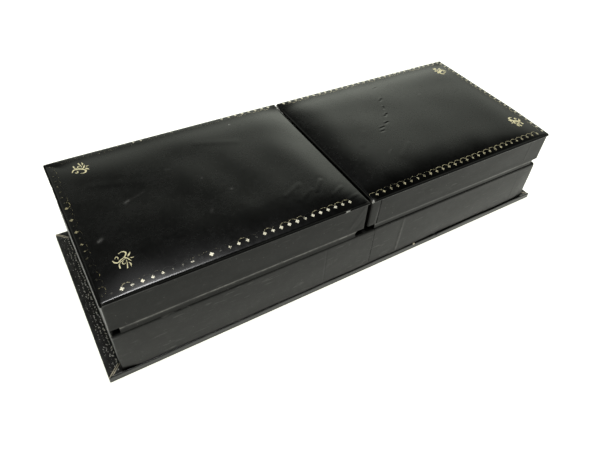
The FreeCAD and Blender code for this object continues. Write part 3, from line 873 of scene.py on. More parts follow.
def edge_lines(length, step, fine=None):
    """Grid lines across a padded piece, closer towards both edges and inside a finer stretch."""
    margin = np.array([0.0, 0.03, 0.09, 0.18, 0.30, 0.45, 0.65, 0.9, 1.2, 1.6, 2.1, 2.7, 3.3, 3.9, 4.6])
    middle = np.linspace(5.3, length - 5.3, round((length - 10.6) / step) + 1)
    if fine is not None:
        start, end = fine
        middle = middle[(middle < start) | (middle > end)]
        middle = np.sort(np.concatenate([middle, np.linspace(start, end, round((end - start) / 0.42) + 1)]))
    return np.concatenate([margin, middle, length - margin[::-1]])


def padded_grid(width, depth, step, fine=(None, None)):
    """A padded piece's grid: distances from the left and hinge edges, and from the nearer edge each way."""
    lines_x, lines_y = edge_lines(width, step, fine[0]), edge_lines(depth, step, fine[1])
    from_left, from_hinge = np.meshgrid(lines_x, lines_y, indexing="ij")
    edge_x = np.minimum(from_left, width - from_left)
    edge_y = np.minimum(from_hinge, depth - from_hinge)
    return from_left, from_hinge, edge_x, edge_y


def top_dome(distance, reach):
    """Rise of the padding from an edge, from 0 to 1, flattening inwards."""
    return 1 - (1 - np.clip(distance / reach, 0, 1)) ** 3


def quarter_round(distance, width):
    """Quarter-ellipse rise from an edge, from 0 to 1."""
    return np.sqrt(np.clip(1 - (1 - np.clip(distance / width, 0, 1)) ** 2, 0, 1))


def top_relief(side, x, y, level, look):
    """Slow waves, wrinkles and nicks of one leather top."""
    height = look.unevenness / MM * gentle_waves(x, y, f"{side}_top", 30.0) * level
    for *ends, half_width, crest in LEATHER_WRINKLES[side]:
        away = line_distance(x, y, *ends)
        height = height + crest * (bell(away, half_width) - 0.5 * bell(away, 2.2 * half_width))
    for nick_x, nick_y, half_length, turn, depth in LEATHER_NICKS[side]:
        angle = math.radians(turn)
        reach_x, reach_y = half_length * math.cos(angle), half_length * math.sin(angle)
        start, end = (nick_x - reach_x, nick_y - reach_y), (nick_x + reach_x, nick_y + reach_y)
        away = line_distance(x, y, *start, *end)
        rim = line_distance(x, y - NICK_RIM_BACK, *start, *end)
        height = height - depth * bell(away, NICK_GROOVE) + NICK_RIM_SHARE * depth * bell(rim, NICK_RIM)
    return height


def top_wear(side, x, y, edge):
    """Rubbed edges, scuffs and the margin pressed smooth by the roll, as three painted values."""
    patches = np.clip(0.5 + 0.5 * gentle_waves(x, y, f"{side}_top_rub", 9.0), 0, 1)
    rub_and_highlight = 0.04 * np.exp(-edge / 0.35) * patches
    low, high = box_mm(f"{side}_lid_leather")
    for corner_x in (low[0], high[0]):
        rub_and_highlight = rub_and_highlight + 0.55 * bell(np.hypot(x - corner_x, y - low[1]), 1.6)
    scuff = np.zeros_like(x)
    for *ends, half_width, strength in LEATHER_SCUFFS[side]:
        scuff = np.maximum(scuff, strength * bell(line_distance(x, y, *ends), half_width))
    margin = np.clip(1.3 * (1 - (y - low[1]) / PRESSED_MARGIN), 0, 1)
    smooth = 0.45 * np.clip((x + 80.0) / 50.0, 0, 1) if side == "left" else 1.0
    return np.clip(rub_and_highlight, 0, 1), scuff, margin * smooth


def loop_directions(loop):
    """Outward directions of an anticlockwise loop of plan points."""
    along = np.roll(loop, -1, axis=0) - np.roll(loop, 1, axis=0)
    along = along / np.linalg.norm(along, axis=1)[:, None]
    return np.column_stack([along[:, 1], -along[:, 0]])


def top_crown(side, low, high, look):
    """Places and heights of one top's grid, and how far each point is from the nearest edge."""
    width, depth = high[0] - low[0], high[1] - low[1]
    fine = (None, None)
    if LEATHER_NICKS[side]:
        places = np.array([nick[:2] for nick in LEATHER_NICKS[side]]) - low[:2]
        fine = np.vstack([places.min(0) - 2.0, places.max(0) + 2.0]).T
    from_left, from_hinge, edge_x, edge_y = padded_grid(width, depth, TOP_STEP, fine)
    by_split = from_left > width / 2 if side == "left" else from_left < width / 2
    corner = look.corner / MM * np.where(by_split, SPLIT_CORNER, 1.0)
    moved_x, moved_y = round_corners(edge_x, edge_y, CORNER_ZONE, corner)
    x = low[0] + np.where(from_left < width / 2, moved_x, width - moved_x)
    y = low[1] + np.where(from_hinge < depth / 2, moved_y, depth - moved_y)
    edge = np.minimum(edge_x, edge_y)
    shoulder, lip = look.shoulder / MM, look.lip / MM
    level = top_dome(edge_x, shoulder) * top_dome(edge_y, shoulder)
    turned = lip * (1 - quarter_round(edge, lip))
    from_end = from_left if side == "left" else width - from_left
    end_lift = END_LIFT * np.clip(from_hinge / 30.0, 0, 1) * bell(from_end, LIFT_REACH)
    lifted = np.maximum(OPENING_LIFT * bell(depth - from_hinge, LIFT_REACH), end_lift)
    rim = high[2] - RIM_DROP[side]
    z = rim + look.rise / MM * level + lifted + top_relief(side, x, y, level, look) - turned
    return x, y, z, edge


def chip_edge(side, points, outer):
    """Bite the small chips out of a top's outer edge."""
    for chip_y, half_width, depth in EDGE_CHIPS[side]:
        bite = depth * bell(points[:, 1] - chip_y, half_width) * bell(points[:, 0] - outer, 0.35)
        points[:, 0] += bite
        points[:, 2] -= 0.5 * bite


def shaded_lip(side, x, scuff, outward, edge_rows):
    """Numbers of the steep lip's faces that get the painted shade, without those that are scuffed bare."""
    strips = x.shape[1] - 1
    bare = scuff.reshape(x.shape)[:, 0] > 0.25
    faces = []
    for step in np.flatnonzero(~bare[:-1]):
        first = 2 if x[step, 0] < NARROW_LIP_SHADE else 1
        faces += [int(step) * strips + row for row in range(first, 4)]
    if side == "left":
        # On the left lid the lip along the outer end also gets the painted shade.
        faces += list(range(7 * strips))
        crown_faces = (x.shape[0] - 1) * strips
        outer = np.flatnonzero(outward[:, 0] < -0.8)
        faces += [crown_faces + row * len(outward) + place for row in range(edge_rows) for place in outer]
    return faces


def leather_top(side, look):
    """One padded leather top: crowned skin, rounded corners and a lip that stands over the wall."""
    low, high = box_mm(f"{side}_lid_leather")
    x, y, z, edge = top_crown(side, low, high, look)
    points, number, border = point_grid(x, y, z)
    faces = grid_faces(number)
    rub_and_highlight, scuff, pressed = top_wear(side, points[:, 0], points[:, 1], edge.ravel())
    outward = loop_directions(points[border, :2])
    chip_edge(side, points, low[0])
    loop = points[border, :2]
    under = low[2] - LIP_HANG[side]
    edge_rows = (
        (0.0, under + 0.40), (0.0, under + 0.24), (0.04, under + 0.12),
        (0.14, under + 0.03), (0.30, under), (0.42, under), (0.43, low[2]),
    )
    waver = 0.05 * gentle_waves(loop[:, 0], loop[:, 1], "top_edge", 16.0)
    upper, total = border, len(points)
    rows, wear_rows = [points], [rub_and_highlight]
    for inset, height in edge_rows:
        lower = np.arange(total, total + len(loop))
        faces += skirt_faces(lower, upper)
        rows.append(np.column_stack([loop - (inset + 0.04) * outward, height + waver * (inset < 0.2)]))
        wear_rows.append(rub_and_highlight[border] * (1.0 if inset < 0.1 else 0.2))
        upper, total = lower, total + len(loop)
    faces.append(upper[::-1].tolist())
    scuffs = np.concatenate([scuff, np.zeros(total - len(scuff))])
    smooth = np.concatenate([pressed] + [pressed[border]] * len(edge_rows))
    marks = {"rub_and_highlight": np.concatenate(wear_rows), "scuff": scuffs, "pressed": smooth}
    material = finish_named("top_leather", top_leather_finish, look)
    shaded = shaded_lip(side, x, scuff, outward, len(edge_rows))
    points = np.concatenate(rows)
    piece = make_piece(f"{side}_leather_top", points, faces, material, marks, crisp=70.0, shaded=shaded)
    fit_piece(piece, f"{side}_lid", (f"{side}_lid_leather", f"{side}_lid_padding"))
    return piece


class FoilPress:
    """Gathers pressed strokes of gold leaf that follow a surface."""

    def __init__(self, surface_piece, lift):
        mesh = surface_piece.data
        corners = [vertex.co / MM for vertex in mesh.vertices]
        self.surface = BVHTree.FromPolygons(corners, [tuple(face.vertices) for face in mesh.polygons])
        self.lift = lift
        self.points, self.faces, self.wear, self.dull = [], [], [], []

    def height(self, x, y):
        """Height of the surface under a plan point."""
        hit = self.surface.ray_cast((x, y, 100.0), (0, 0, -1))[0]
        if hit is None:
            raise ValueError(f"gold leaf at {x:.1f}, {y:.1f} has no leather under it")
        return hit.z

    def stroke(self, line, half_widths, wear, dull=0.0, extra=0.0):
        """Press one tapering stroke along a plan line."""
        lift = self.lift + extra
        line = np.asarray(line, float)
        along = np.gradient(line, axis=0)
        along = along / np.linalg.norm(along, axis=1)[:, None]
        across = np.column_stack([-along[:, 1], along[:, 0]]) * np.asarray(half_widths)[:, None]
        first = len(self.points)
        for left, right in zip(line + across, line - across):
            left_z, right_z = self.height(*left), self.height(*right)
            self.points += [
                (*left, left_z - 0.08), (*left, left_z + lift),
                (*right, right_z + lift), (*right, right_z - 0.08),
            ]
            self.wear += [wear] * 4
            self.dull += [dull] * 4
        self.faces += prism_faces(first, len(line), 4)

    def flower(self, centre, along, half, wear, dull):
        """Press one four-petalled flower of the roll."""
        shares = np.array([-1.0, -0.88, -0.62, -0.30, 0.0, 0.30, 0.62, 0.88, 1.0])
        petals = np.array([0.12, 0.34, 0.43, 0.30, 0.24, 0.30, 0.43, 0.34, 0.12]) * half
        across = np.array([-along[1], along[0]])
        for direction, extra in ((along, 0.0), (across, 0.008)):
            line = np.asarray(centre) + np.outer(shares * half, direction)
            self.stroke(line, petals, wear, dull, extra)

    def scallop(self, start, end, inward, rise, half_line, wear, dull):
        """Press one arched line from a flower over to the next one."""
        angle = np.linspace(math.pi, 0.0, 15)
        share = 0.5 + 0.45 * np.cos(angle)
        bow = 0.80 + (rise - 0.80) * np.sin(angle)
        line = np.outer(1 - share, start) + np.outer(share, end) + np.outer(bow, inward)
        self.stroke(line, half_line * (0.75 + 0.5 * np.sin(angle)), wear, dull)

    def finished(self, name, material):
        """The pressed strokes as one piece."""
        marks = {"wear": self.wear, "dull": self.dull}
        return make_piece(name, self.points, self.faces, material, marks, crisp=40.0)


def smooth_line(points, steps=5):
    """A rounded line through a few plan points."""
    points = np.asarray(points, float)
    padded = np.vstack([2 * points[0] - points[1], points, 2 * points[-1] - points[-2]])
    line = []
    for first, start, end, last in zip(padded[:-3], padded[1:-2], padded[2:-1], padded[3:]):
        for share in np.linspace(0, 1, steps, endpoint=False):
            bend = (2 * first - 5 * start + 4 * end - last) * share ** 2
            twist = (3 * start - first - 3 * end + last) * share ** 3
            line.append(0.5 * (2 * start + (end - first) * share + bend + twist))
    return np.vstack([line, points[-1:]])


def roll_border(foil, start, run, inward, look, flower_wear, scallop_wear, dull=(0.0, 0.5), sway=(0.0, 0.0)):
    """Run the border roll along one edge, set aside by the sway at first and back in line towards its end."""
    run, inward = np.asarray(run, float), np.asarray(inward, float)
    along = run / np.linalg.norm(run)
    count = len(flower_wear)
    places = []
    for number in range(count):
        early = np.clip(2.0 - 2.4 * number / count, 0, 1)
        places.append(np.asarray(start) + number * run + early * np.asarray(sway))
    for number, place in enumerate(places):
        half = look.flower / MM * (1.05 - 0.4 * flower_wear[number])
        foil.flower(place, along, half, flower_wear[number], dull[0])
        if number + 1 < count:
            words = (look.arch / MM, look.line / MM, scallop_wear[number], dull[1])
            foil.scallop(place, places[number + 1], inward, *words)


def border_wear(chance, count, low, high, rubbed=(), half_rubbed=(), fresh=(), early=None):
    """Wear of each motif along an edge: 0 is fresh and 1 is rubbed away."""
    wear = chance.uniform(low, high, count)
    for numbers, least, most in ((rubbed, 0.92, 1.0), (half_rubbed, 0.55, 0.69), (fresh, 0.04, 0.16)):
        for number in numbers:
            wear[number] = chance.uniform(least, most)
    if early:
        stretch, least, most = early
        wear[:stretch] = chance.uniform(least, most, stretch)
    return wear


def gold_border(side, look, material, top, wear):
    """The border roll along the hinge side, the outer end and the opening side of one lid."""
    sign = SIGN[side]
    low, high = box_mm(f"{side}_lid_leather")
    pitch = look.pitch / MM
    foil = FoilPress(top, look.lift / MM)
    start, stretch, drop, dull, sway = HINGE_ROLL[side]
    hinge_y = low[1] + look.hinge_inset / MM - drop
    run = (sign * stretch * pitch, 0)
    roll_border(foil, (start, hinge_y), run, (0, 1), look, wear["hinge"], wear["hinge_scallops"], dull, sway)
    if side == "right":
        first, worn = FIRST_SCALLOP
        ends = np.array([[first, hinge_y], [start, hinge_y]])
        foil.scallop(*ends, np.array([0, 1]), look.arch / MM, look.line / MM, worn, dull[1])
    outer = low[0] if side == "left" else high[0]
    end_x = outer - sign * look.end_inset / MM
    end_y = low[1] + 0.5 * (high[1] - low[1] - (len(wear["end"]) - 1) * pitch)
    inward = (-sign, 0)
    roll_border(
        foil, (end_x, end_y), (0, pitch), inward, look, wear["end"], wear["end_scallops"], END_DULL[side])
    opening = (OPENING_START[side], high[1] - look.opening_inset / MM)
    run = (sign * pitch, 0)
    roll_border(foil, opening, run, (0, -1), look, wear["opening"], wear["opening_scallops"])
    fit_piece(foil.finished(f"{side}_gold_border", material), f"{side}_lid")


def gold_sprays(side, look, material, top, chance):
    """The two corner sprays of one lid."""
    sign = SIGN[side]
    foil = FoilPress(top, look.lift / MM)
    for middle_y, up, bold in SPRAYS[side]:
        for line, widths in SPRAY_STROKES:
            plan = SPRAY_SIZE * smooth_line(line)
            share = np.linspace(0, 1, len(plan))
            half_widths = np.interp(share, (0, 0.5, 1), widths) * bold
            place = np.column_stack([SPRAY_X[side] - sign * plan[:, 0], middle_y + up * plan[:, 1]])
            foil.stroke(place, half_widths, SPRAY_WEAR[side] + 0.22 * chance.random())
    fit_piece(foil.finished(f"{side}_gold_sprays", material), f"{side}_lid")


def lid_tooling(side, look, leather):
    """Gold border and corner sprays of one lid."""
    top = bpy.data.objects.get(f"{side}_leather_top")
    if top is None:
        raise RuntimeError("the gold tooling needs the leather tops first")
    chance = np.random.default_rng(GOLD_SEEDS[side])
    wear = {row: border_wear(chance, *words) for row, words in BORDER_WEAR[side].items()}
    border_leaf = finish_named("gold_leaf", gold_leaf_finish, look.colour, look, leather)
    gold_border(side, look, border_leaf, top, wear)
    spray_leaf = finish_named("spray_gold", gold_leaf_finish, SPRAY_GOLD, look, leather)
    gold_sprays(side, look, spray_leaf, top, chance)


def base_tooling(look, leather):
    """Worn rows of small gold marks on the two ends of the base."""
    cover = bpy.data.objects.get("base_leather")
    if cover is None:
        raise RuntimeError("the gold on the base needs the base leather first")
    low, high = box_mm("base_cover")
    chance = np.random.default_rng(GOLD_SEEDS["base"])
    foil = FoilPress(cover, look.lift / MM)
    wall_low, wall_high = box_mm("tray_cover")
    for wall, outward in ((wall_low[0], -1.0), (wall_high[0], 1.0)):
        for away, step, size, least, most in BASE_MARKS:
            for y in np.arange(low[1] + 4.0, high[1] - 4.0, step):
                x = wall + outward * (away + 0.25 * chance.normal())
                middle = np.array([x, y + 0.25 * chance.normal()])
                turn = chance.uniform(-0.8, 0.8)
                reach = np.array([math.sin(turn), math.cos(turn)]) * size * chance.uniform(0.30, 0.75)
                line = [middle - reach, middle, middle + reach]
                half_widths = size * np.array([0.10, chance.uniform(0.16, 0.36), 0.10])
                foil.stroke(line, half_widths, chance.uniform(least, most))
    material = finish_named("dusty_leaf", gold_leaf_finish, BASE_GOLD, look, leather)
    fit_piece(foil.finished("base_gold_border", material), "base")


def seam_faces(points, faces, front, half_width, place, top, lean):
    """Numbers of the narrow faces along a seam on the hinge side, which leans from its place at the top; they
    get the painted shade.
    """
    middles = np.array([points[list(face)].mean(0) for face in faces])
    near = np.abs(middles[:, 0] - place + lean * (top - middles[:, 2])) < half_width
    return np.flatnonzero(near & (middles[:, 1] < front)).tolist()


def lid_profile(bottom, top, look):
    """Rows of a lid's covering: over the square lower edge, up the wall and back behind it."""
    bead = look.bead / MM
    skin = look.skin / MM - SKIN_ROOM
    rows = [(LID_INSIDE + 0.12, bottom + 0.10, 1)]
    rows += [(inset, bottom, 1) for inset in (1.8, 1.1, 0.30, 0.0)]
    rows += [(0.0, bottom + 0.25, 1), (0.0, bottom + 0.9, 1)]
    rows += [(bead * 0.5, bottom + 1.7, 1), (bead, bottom + 2.6, 1)]
    rows += [(bead, height, 1) for height in np.linspace(bottom + 3.6, top - 1.6, 10)]
    rows += [(bead, top - below, 1) for below in (0.9, 0.5, 0.25, 0.03)]
    rows += [(skin, top - 0.03, 0), (skin, bottom + 0.48, 0)]
    rows += [(LID_INSIDE + 0.02, bottom + 0.48, 0), (LID_INSIDE + 0.02, bottom + LID_TURN_IN, 0)]
    return rows + [(LID_INSIDE + 0.25, bottom + above, 1) for above in (LID_TURN_IN, 3.5, 0.5)]


def lid_rub(points, shown, low, high):
    """Rubbed hem, ends and upper front corners of a lid's covering."""
    x, y, z = points.T
    edge = np.abs(z - low[2] - 0.1)
    corner = np.minimum(np.abs(x - low[0]), np.abs(x - high[0]))
    patches = np.clip(0.4 + 0.6 * gentle_waves(x, y + z, "lid_rub", 12.0), 0, 1)
    rub_and_highlight = shown * patches * (0.05 * np.exp(-edge / 0.3) + 0.06 * np.exp(-corner / 0.5))
    for spot_x in (low[0], high[0]):
        spot = bell(np.hypot(x - spot_x, y - low[1]), 1.0) * bell(z - high[2] + 0.6, 1.0)
        rub_and_highlight = rub_and_highlight + 0.5 * shown * spot
    return np.clip(rub_and_highlight, 0, 1)


def lid_wrap(side, look):
    """Leatherette round one lid: square lower edge, turned in over the inside of the walls."""
    low, high = box_mm(f"{side}_lid_cover")
    bottom, top = low[2], high[2]
    fine = (LID_SEAM, END_CREASE) if side == "right" else (high[0] - 3.0, high[0] - 8.0)
    along_x = spaced(high[0] - low[0], 1.6, [place - low[0] for place in fine])
    along_y = spaced(high[1] - low[1], 1.8)

    def shape(x, y, z, outward):
        facing = hinge_side(outward)
        up = np.clip((z - bottom) / (top - bottom), 0, 1)
        body = np.clip((z - bottom - 1.0) / 2.0, 0, 1) * np.clip((top - z) / 1.5, 0, 1)
        out = 0.05 * gentle_waves(x + 3.1 * y, z * 2.0 + y, f"{side}_lid_wall", 26.0) * body
        if side == "right":
            line = LID_SEAM - LID_SEAM_LEAN * (1 - up)
            step = 0.03 * soft_step(x - line, 0.16) - 0.16 * bell(x - line - 0.2, 0.18)
            out = out + facing * step * (z > bottom + 0.3) * (z < top - 0.4)
            out = out + facing * 0.05 * bell(x - END_CREASE - 0.6 * up, 0.5) * body
        else:
            crease = line_distance(x, z, -11.0, bottom + 4.0, -3.0, top - 2.0)
            fold = line_distance(x, z, -7.0, bottom + 2.5, -2.2, bottom + 9.0)
            out = out + facing * body * (0.10 * bell(crease, 0.7) - 0.09 * bell(fold, 0.8))
        return out, 0.05 * gentle_waves(x, y, "lid_hem", 22.0) * (1 - up)

    plan, profile = (*low[:2], *high[:2]), lid_profile(bottom, top, look)
    points, faces, shown = swept_wrap(plan, 0.9, profile, along_x, along_y, shape)
    shaded = ()
    if side == "right":
        lean = LID_SEAM_LEAN / (top - bottom)
        # The right lid's seam is painted as a dark line of shade.
        shaded = seam_faces(points, faces, low[1] + 0.6, 0.30, LID_SEAM + 0.05, top, lean)
    material = covering("lid_leatherette", look)
    marks = {"rub_and_highlight": lid_rub(points, shown, low, high)}
    piece = make_piece(f"{side}_lid_wrap", points, faces, material, marks, crisp=60.0, shaded=shaded)
    return fit_piece(piece, f"{side}_lid", (f"{side}_lid_cover",))


def tray_profile(bottom, top, look):
    """Rows of the tray's covering: up the wall, over its rounded upper edge and back behind it."""
    skin = look.skin / MM - SKIN_ROOM
    rows = [(skin, bottom + 0.02, 0), (0.30, bottom + 0.02, 1), (0.08, bottom + 0.06, 1)]
    rows += [(0.0, bottom + above, 1) for above in (0.18, 0.4, 0.8, 1.6, 2.6)]
    rows += [(0.0, height, 1) for height in np.linspace(bottom + 3.6, top - 2.9, 15)]
    turned = 1.8
    for turn in (-8.0, 0.0, 10.0, 20.0, 30.0, 42.0, 56.0, 72.0, 90.0):
        angle = math.radians(turn)
        rows.append((turned * (1 - math.cos(max(angle, 0.0))), top - turned + turned * math.sin(angle), 1))
    return rows + [(2.6, top, 1), (TRAY_INSIDE, top, 1), (TRAY_INSIDE, top - 0.46, 0), (skin, top - 0.46, 0)]


def tray_rub_and_highlight(points, shown, low, high):
    """Rubbed edges and ends, a painted highlight along the ridge, and one long scuff of the tray's covering.
    """
    x, y, z = points.T
    bottom, top = low[2], high[2]
    edge = np.minimum(np.abs(z - bottom - 0.5), np.abs(z - top + 0.3))
    corner = np.minimum(np.abs(x - low[0]), np.abs(x - high[0]))
    patches = np.clip(0.4 + 0.6 * gentle_waves(x, y + z, "tray_rub_and_highlight", 14.0), 0, 1)
    rub_and_highlight = shown * patches * (0.02 * np.exp(-edge / 0.4) + 0.06 * np.exp(-corner / 0.6))
    front = shown * (y < low[1] + 0.6)
    share = np.clip((z - bottom) / (top - bottom), 0, 1)
    # A painted highlight along the slanting ridge.
    rub_and_highlight = rub_and_highlight + front * 0.20 * bell(x - TRAY_RIDGE - 2.6 * share, 1.1) * np.clip(1.3 - share, 0, 1)
    rub_and_highlight = rub_and_highlight + front * 0.12 * bell(line_distance(x, z, -23.5, 16.0, -18.0, 18.0), 0.8)
    return np.clip(rub_and_highlight, 0, 1)


def tray_wrap(look):
    """Leatherette round the tray: a foot that spreads over the base, seams, and a turn-in over the walls."""
    low, high = box_mm("tray_cover")
    bottom, top = low[2], high[2]
    flare = look.flare / MM
    fine = (TRAY_CREASE, TRAY_PRINT, TRAY_SEAM, TRAY_RIDGE, TRAY_RIDGE + 1.4, TRAY_RIDGE + 2.8, END_CREASE)
    along_x = spaced(high[0] - low[0], 1.7, [place - low[0] for place in fine])
    along_y = spaced(high[1] - low[1], 2.0)

    def shape(x, y, z, outward):
        facing = hinge_side(outward)
        up = np.clip((z - bottom) / (top - bottom), 0, 1)
        body = np.clip((z - bottom - 0.6) / 2.0, 0, 1) * np.clip((top - z) / 2.5, 0, 1)
        out = 0.07 * gentle_waves(x + 3.7 * y, z * 1.8 + y, "tray_wall", 34.0) * body
        ends = 0.35 + 0.65 * np.clip(np.minimum(x - low[0], high[0] - x) / 9.0, 0, 1)
        uneven = 1.0 + 0.06 * gentle_waves(x, y, "tray_flare", 40.0)
        out = out + facing * ends * flare * (1 - up ** 2) * uneven
        foot = 0.55 * np.exp((bottom - z) / 3.5) * np.clip((60.0 - x) / 30.0, 0, 1)
        out = out + facing * ends * foot
        line = TRAY_SEAM - TRAY_SEAM_LEAN * (1 - up)
        out = out + facing * body * (0.10 * soft_step(x - line, 0.20) - 0.14 * bell(x - line - 0.2, 0.2))
        out = out + facing * body * 0.20 * bell(x - TRAY_RIDGE - 2.6 * up, 0.9) * np.clip(1.35 - up, 0, 1)
        out = out - facing * body * 0.06 * bell(x - TRAY_CREASE - 0.8 * up, 0.4)
        out = out - facing * 0.10 * bell(np.hypot(x - TRAY_PRINT, z - 0.5 * (bottom + top)), 1.3)
        out = out + facing * body * 0.06 * bell(x - END_CREASE - 1.2 * up, 0.5)
        lift = 0.06 * gentle_waves(x, y, "tray_hem", 30.0) * (1 - up) * (z > bottom + 0.1)
        return out, lift

    plan, profile = (*low[:2], *high[:2]), tray_profile(bottom, top, look)
    points, faces, shown = swept_wrap(plan, 0.9, profile, along_x, along_y, shape)
    lean = TRAY_SEAM_LEAN / (top - bottom)
    # The tray's seam is painted as a dark line of shade.
    shaded = seam_faces(points, faces, low[1] + 0.6, 0.16, TRAY_SEAM + 0.05, top, lean)
    material = covering("tray_leatherette", look)
    marks = {"rub_and_highlight": tray_rub_and_highlight(points, shown, low, high)}
    piece = make_piece("tray_wrap", points, faces, material, marks, crisp=60.0, shaded=shaded)
    return fit_piece(piece, "base", ("tray_cover",))


def base_profile(thick):
    """Rows of the base's leather: from under the board, round its edge, over the top and back inside."""
    lower, upper, board = BASE_LOWER_ROUND, BASE_UPPER_ROUND, BASE_BOARD_INSET
    quarter = [math.radians(turn) for turn in (0.0, 25.0, 50.0, 75.0, 90.0)]
    rows = [(BASE_TURN_IN, 0.02, 1), (6.0, 0.0, 1), (2.0, 0.0, 1)]
    rows += [(lower * (1 - math.sin(angle)), lower * (1 - math.cos(angle)), 1) for angle in quarter]
    rows += [(0.0, 0.35 * thick, 1), (0.0, 0.6 * thick, 1)]
    rows += [(upper * (1 - math.cos(angle)), thick - upper + upper * math.sin(angle), 1) for angle in quarter]
    rows += [(inset, thick, 1) for inset in (0.8, 1.1, 1.5, 2.0, 2.8, 3.6, 4.4, 5.2, 6.0, 7.0, 9.0)]
    rows += [(18.0, thick, 0), (18.0, thick - 0.45, 0), (board, thick - 0.45, 0)]
    return rows + [(board, board, 0), (BASE_TURN_IN, board, 0)]


def base_rub(points, shown, low, high):
    """Rubbed upper edge of the base's leather, and its two ends lightened, more so towards the back."""
    x, y, z = points.T
    thick = high[2]
    rise = np.abs(z - thick + 0.3)
    away = np.minimum(np.minimum(x - low[0], high[0] - x), np.minimum(y - low[1], high[1] - y))
    patches = np.clip(0.4 + 0.6 * gentle_waves(x, y, "base_rub", 10.0), 0, 1)
    rub_and_highlight = shown * patches * 0.14 * np.exp(-rise / 0.5) * np.exp(-np.maximum(away, 0) / 0.6)
    ends = np.clip((np.abs(x) - high[0] + 7.0) / 1.0, 0, 1) * (z > thick - 0.1)
    mottle = np.clip(0.55 + 0.5 * gentle_waves(x, y, "base_mottle", 4.0), 0, 1)
    rub_and_highlight = rub_and_highlight + shown * ends * mottle * (0.22 + 0.10 * y / high[1])
    return np.clip(rub_and_highlight, 0, 1)


def base_leather(look):
    """Leather over the base board, rounded at its edges and turned in underneath."""
    low, high = box_mm("base_cover")
    thick = high[2]
    along_x = spaced(high[0] - low[0], 2.0, (5.0, BASE_DENT - low[0], high[0] - low[0] - 5.0))
    along_y = spaced(high[1] - low[1], 1.6)

    def shape(x, y, z, outward):
        side = np.clip(1 - np.abs(z - 0.5 * thick) / (0.5 * thick), 0, 1)
        out = (0.10 * gentle_waves(x + 2.3 * y, y - x, "base_edge", 24.0) - 0.11) * side
        nick = 0.35 * bell(np.hypot(x - low[0], y - 23.0), 1.5) * side
        rim = np.clip(1 - (y - low[1] - 0.5) / 0.9, 0, 1) * np.clip((z - 0.6 * thick) / (0.4 * thick), 0, 1)
        lift = 0.80 * hinge_side(outward) * rim * (1 + 0.3 * gentle_waves(x, y, "base_rim", 35.0))
        lift = lift - 0.7 * hinge_side(outward) * rim * bell(x - BASE_DENT, 0.8)
        return out - nick, lift

    plan = (*low[:2], *high[:2])
    points, faces, shown = swept_wrap(plan, 0.5, base_profile(thick), along_x, along_y, shape)
    marks = {"rub_and_highlight": base_rub(points, shown, low, high)}
    piece = make_piece("base_leather", points, faces, covering("base_leather", look), marks, crisp=60.0)
    return fit_piece(piece, "base", ("base_cover",))


def strip_prism(points, faces, start, end, half_width, low_z, high_z):
    """Add one thin straight strip with a ridge to lists of points and faces."""
    start, end = np.asarray(start, float), np.asarray(end, float)
    along = (end - start) / np.linalg.norm(end - start)
    across = np.array([-along[1], along[0]]) * half_width
    first = len(points)
    chance = np.random.default_rng(first + 3)
    count = 8
    for share in np.linspace(0, 1, count):
        middle = start + share * (end - start)
        waver = 1 + 0.25 * chance.uniform(-1, 1)
        left, right = middle + across * waver, middle - across * waver
        points += [(*left, low_z), (*left, high_z - 0.03), (*middle, high_z + 0.03)]
        points += [(*right, high_z - 0.03), (*right, low_z)]
    faces += prism_faces(first, count, 5)


def base_mitres(look):
    """Raw cut edges of the leather where it meets at the base's corners, and one small chip."""
    low, high = box_mm("base_cover")
    tray_low, tray_high = box_mm("tray_cover")
    top = high[2]
    points, faces = [], []
    for corner_x, wall_x in ((low[0], tray_low[0]), (high[0], tray_high[0])):
        for corner_y, toward in ((low[1], 1.0), (high[1], -1.0)):
            reach = abs(wall_x - corner_x) - 0.2
            along = np.array([math.copysign(1.0, wall_x - corner_x), toward])
            across = np.array([-along[1], along[0]]) * MITRE_GAP
            corner = np.array([corner_x, corner_y])
            start, end = corner + 0.55 * along, corner + reach * along
            for shift in (across, -across):
                strip_prism(points, faces, start + shift, end + shift, MITRE_STRIP, top - 0.25, top + 0.06)
    (start_x, start_in), (end_x, end_in), half_width, rise = BASE_CHIP
    start, end = (start_x, low[1] + start_in), (end_x, low[1] + end_in)
    strip_prism(points, faces, start, end, half_width, top - 0.2, top + rise)
    material = finish_named("raw_edge", raw_edge_finish, look)
    piece = make_piece("base_raw_edges", points, faces, material, crisp=40.0)
    return fit_piece(piece, "base")


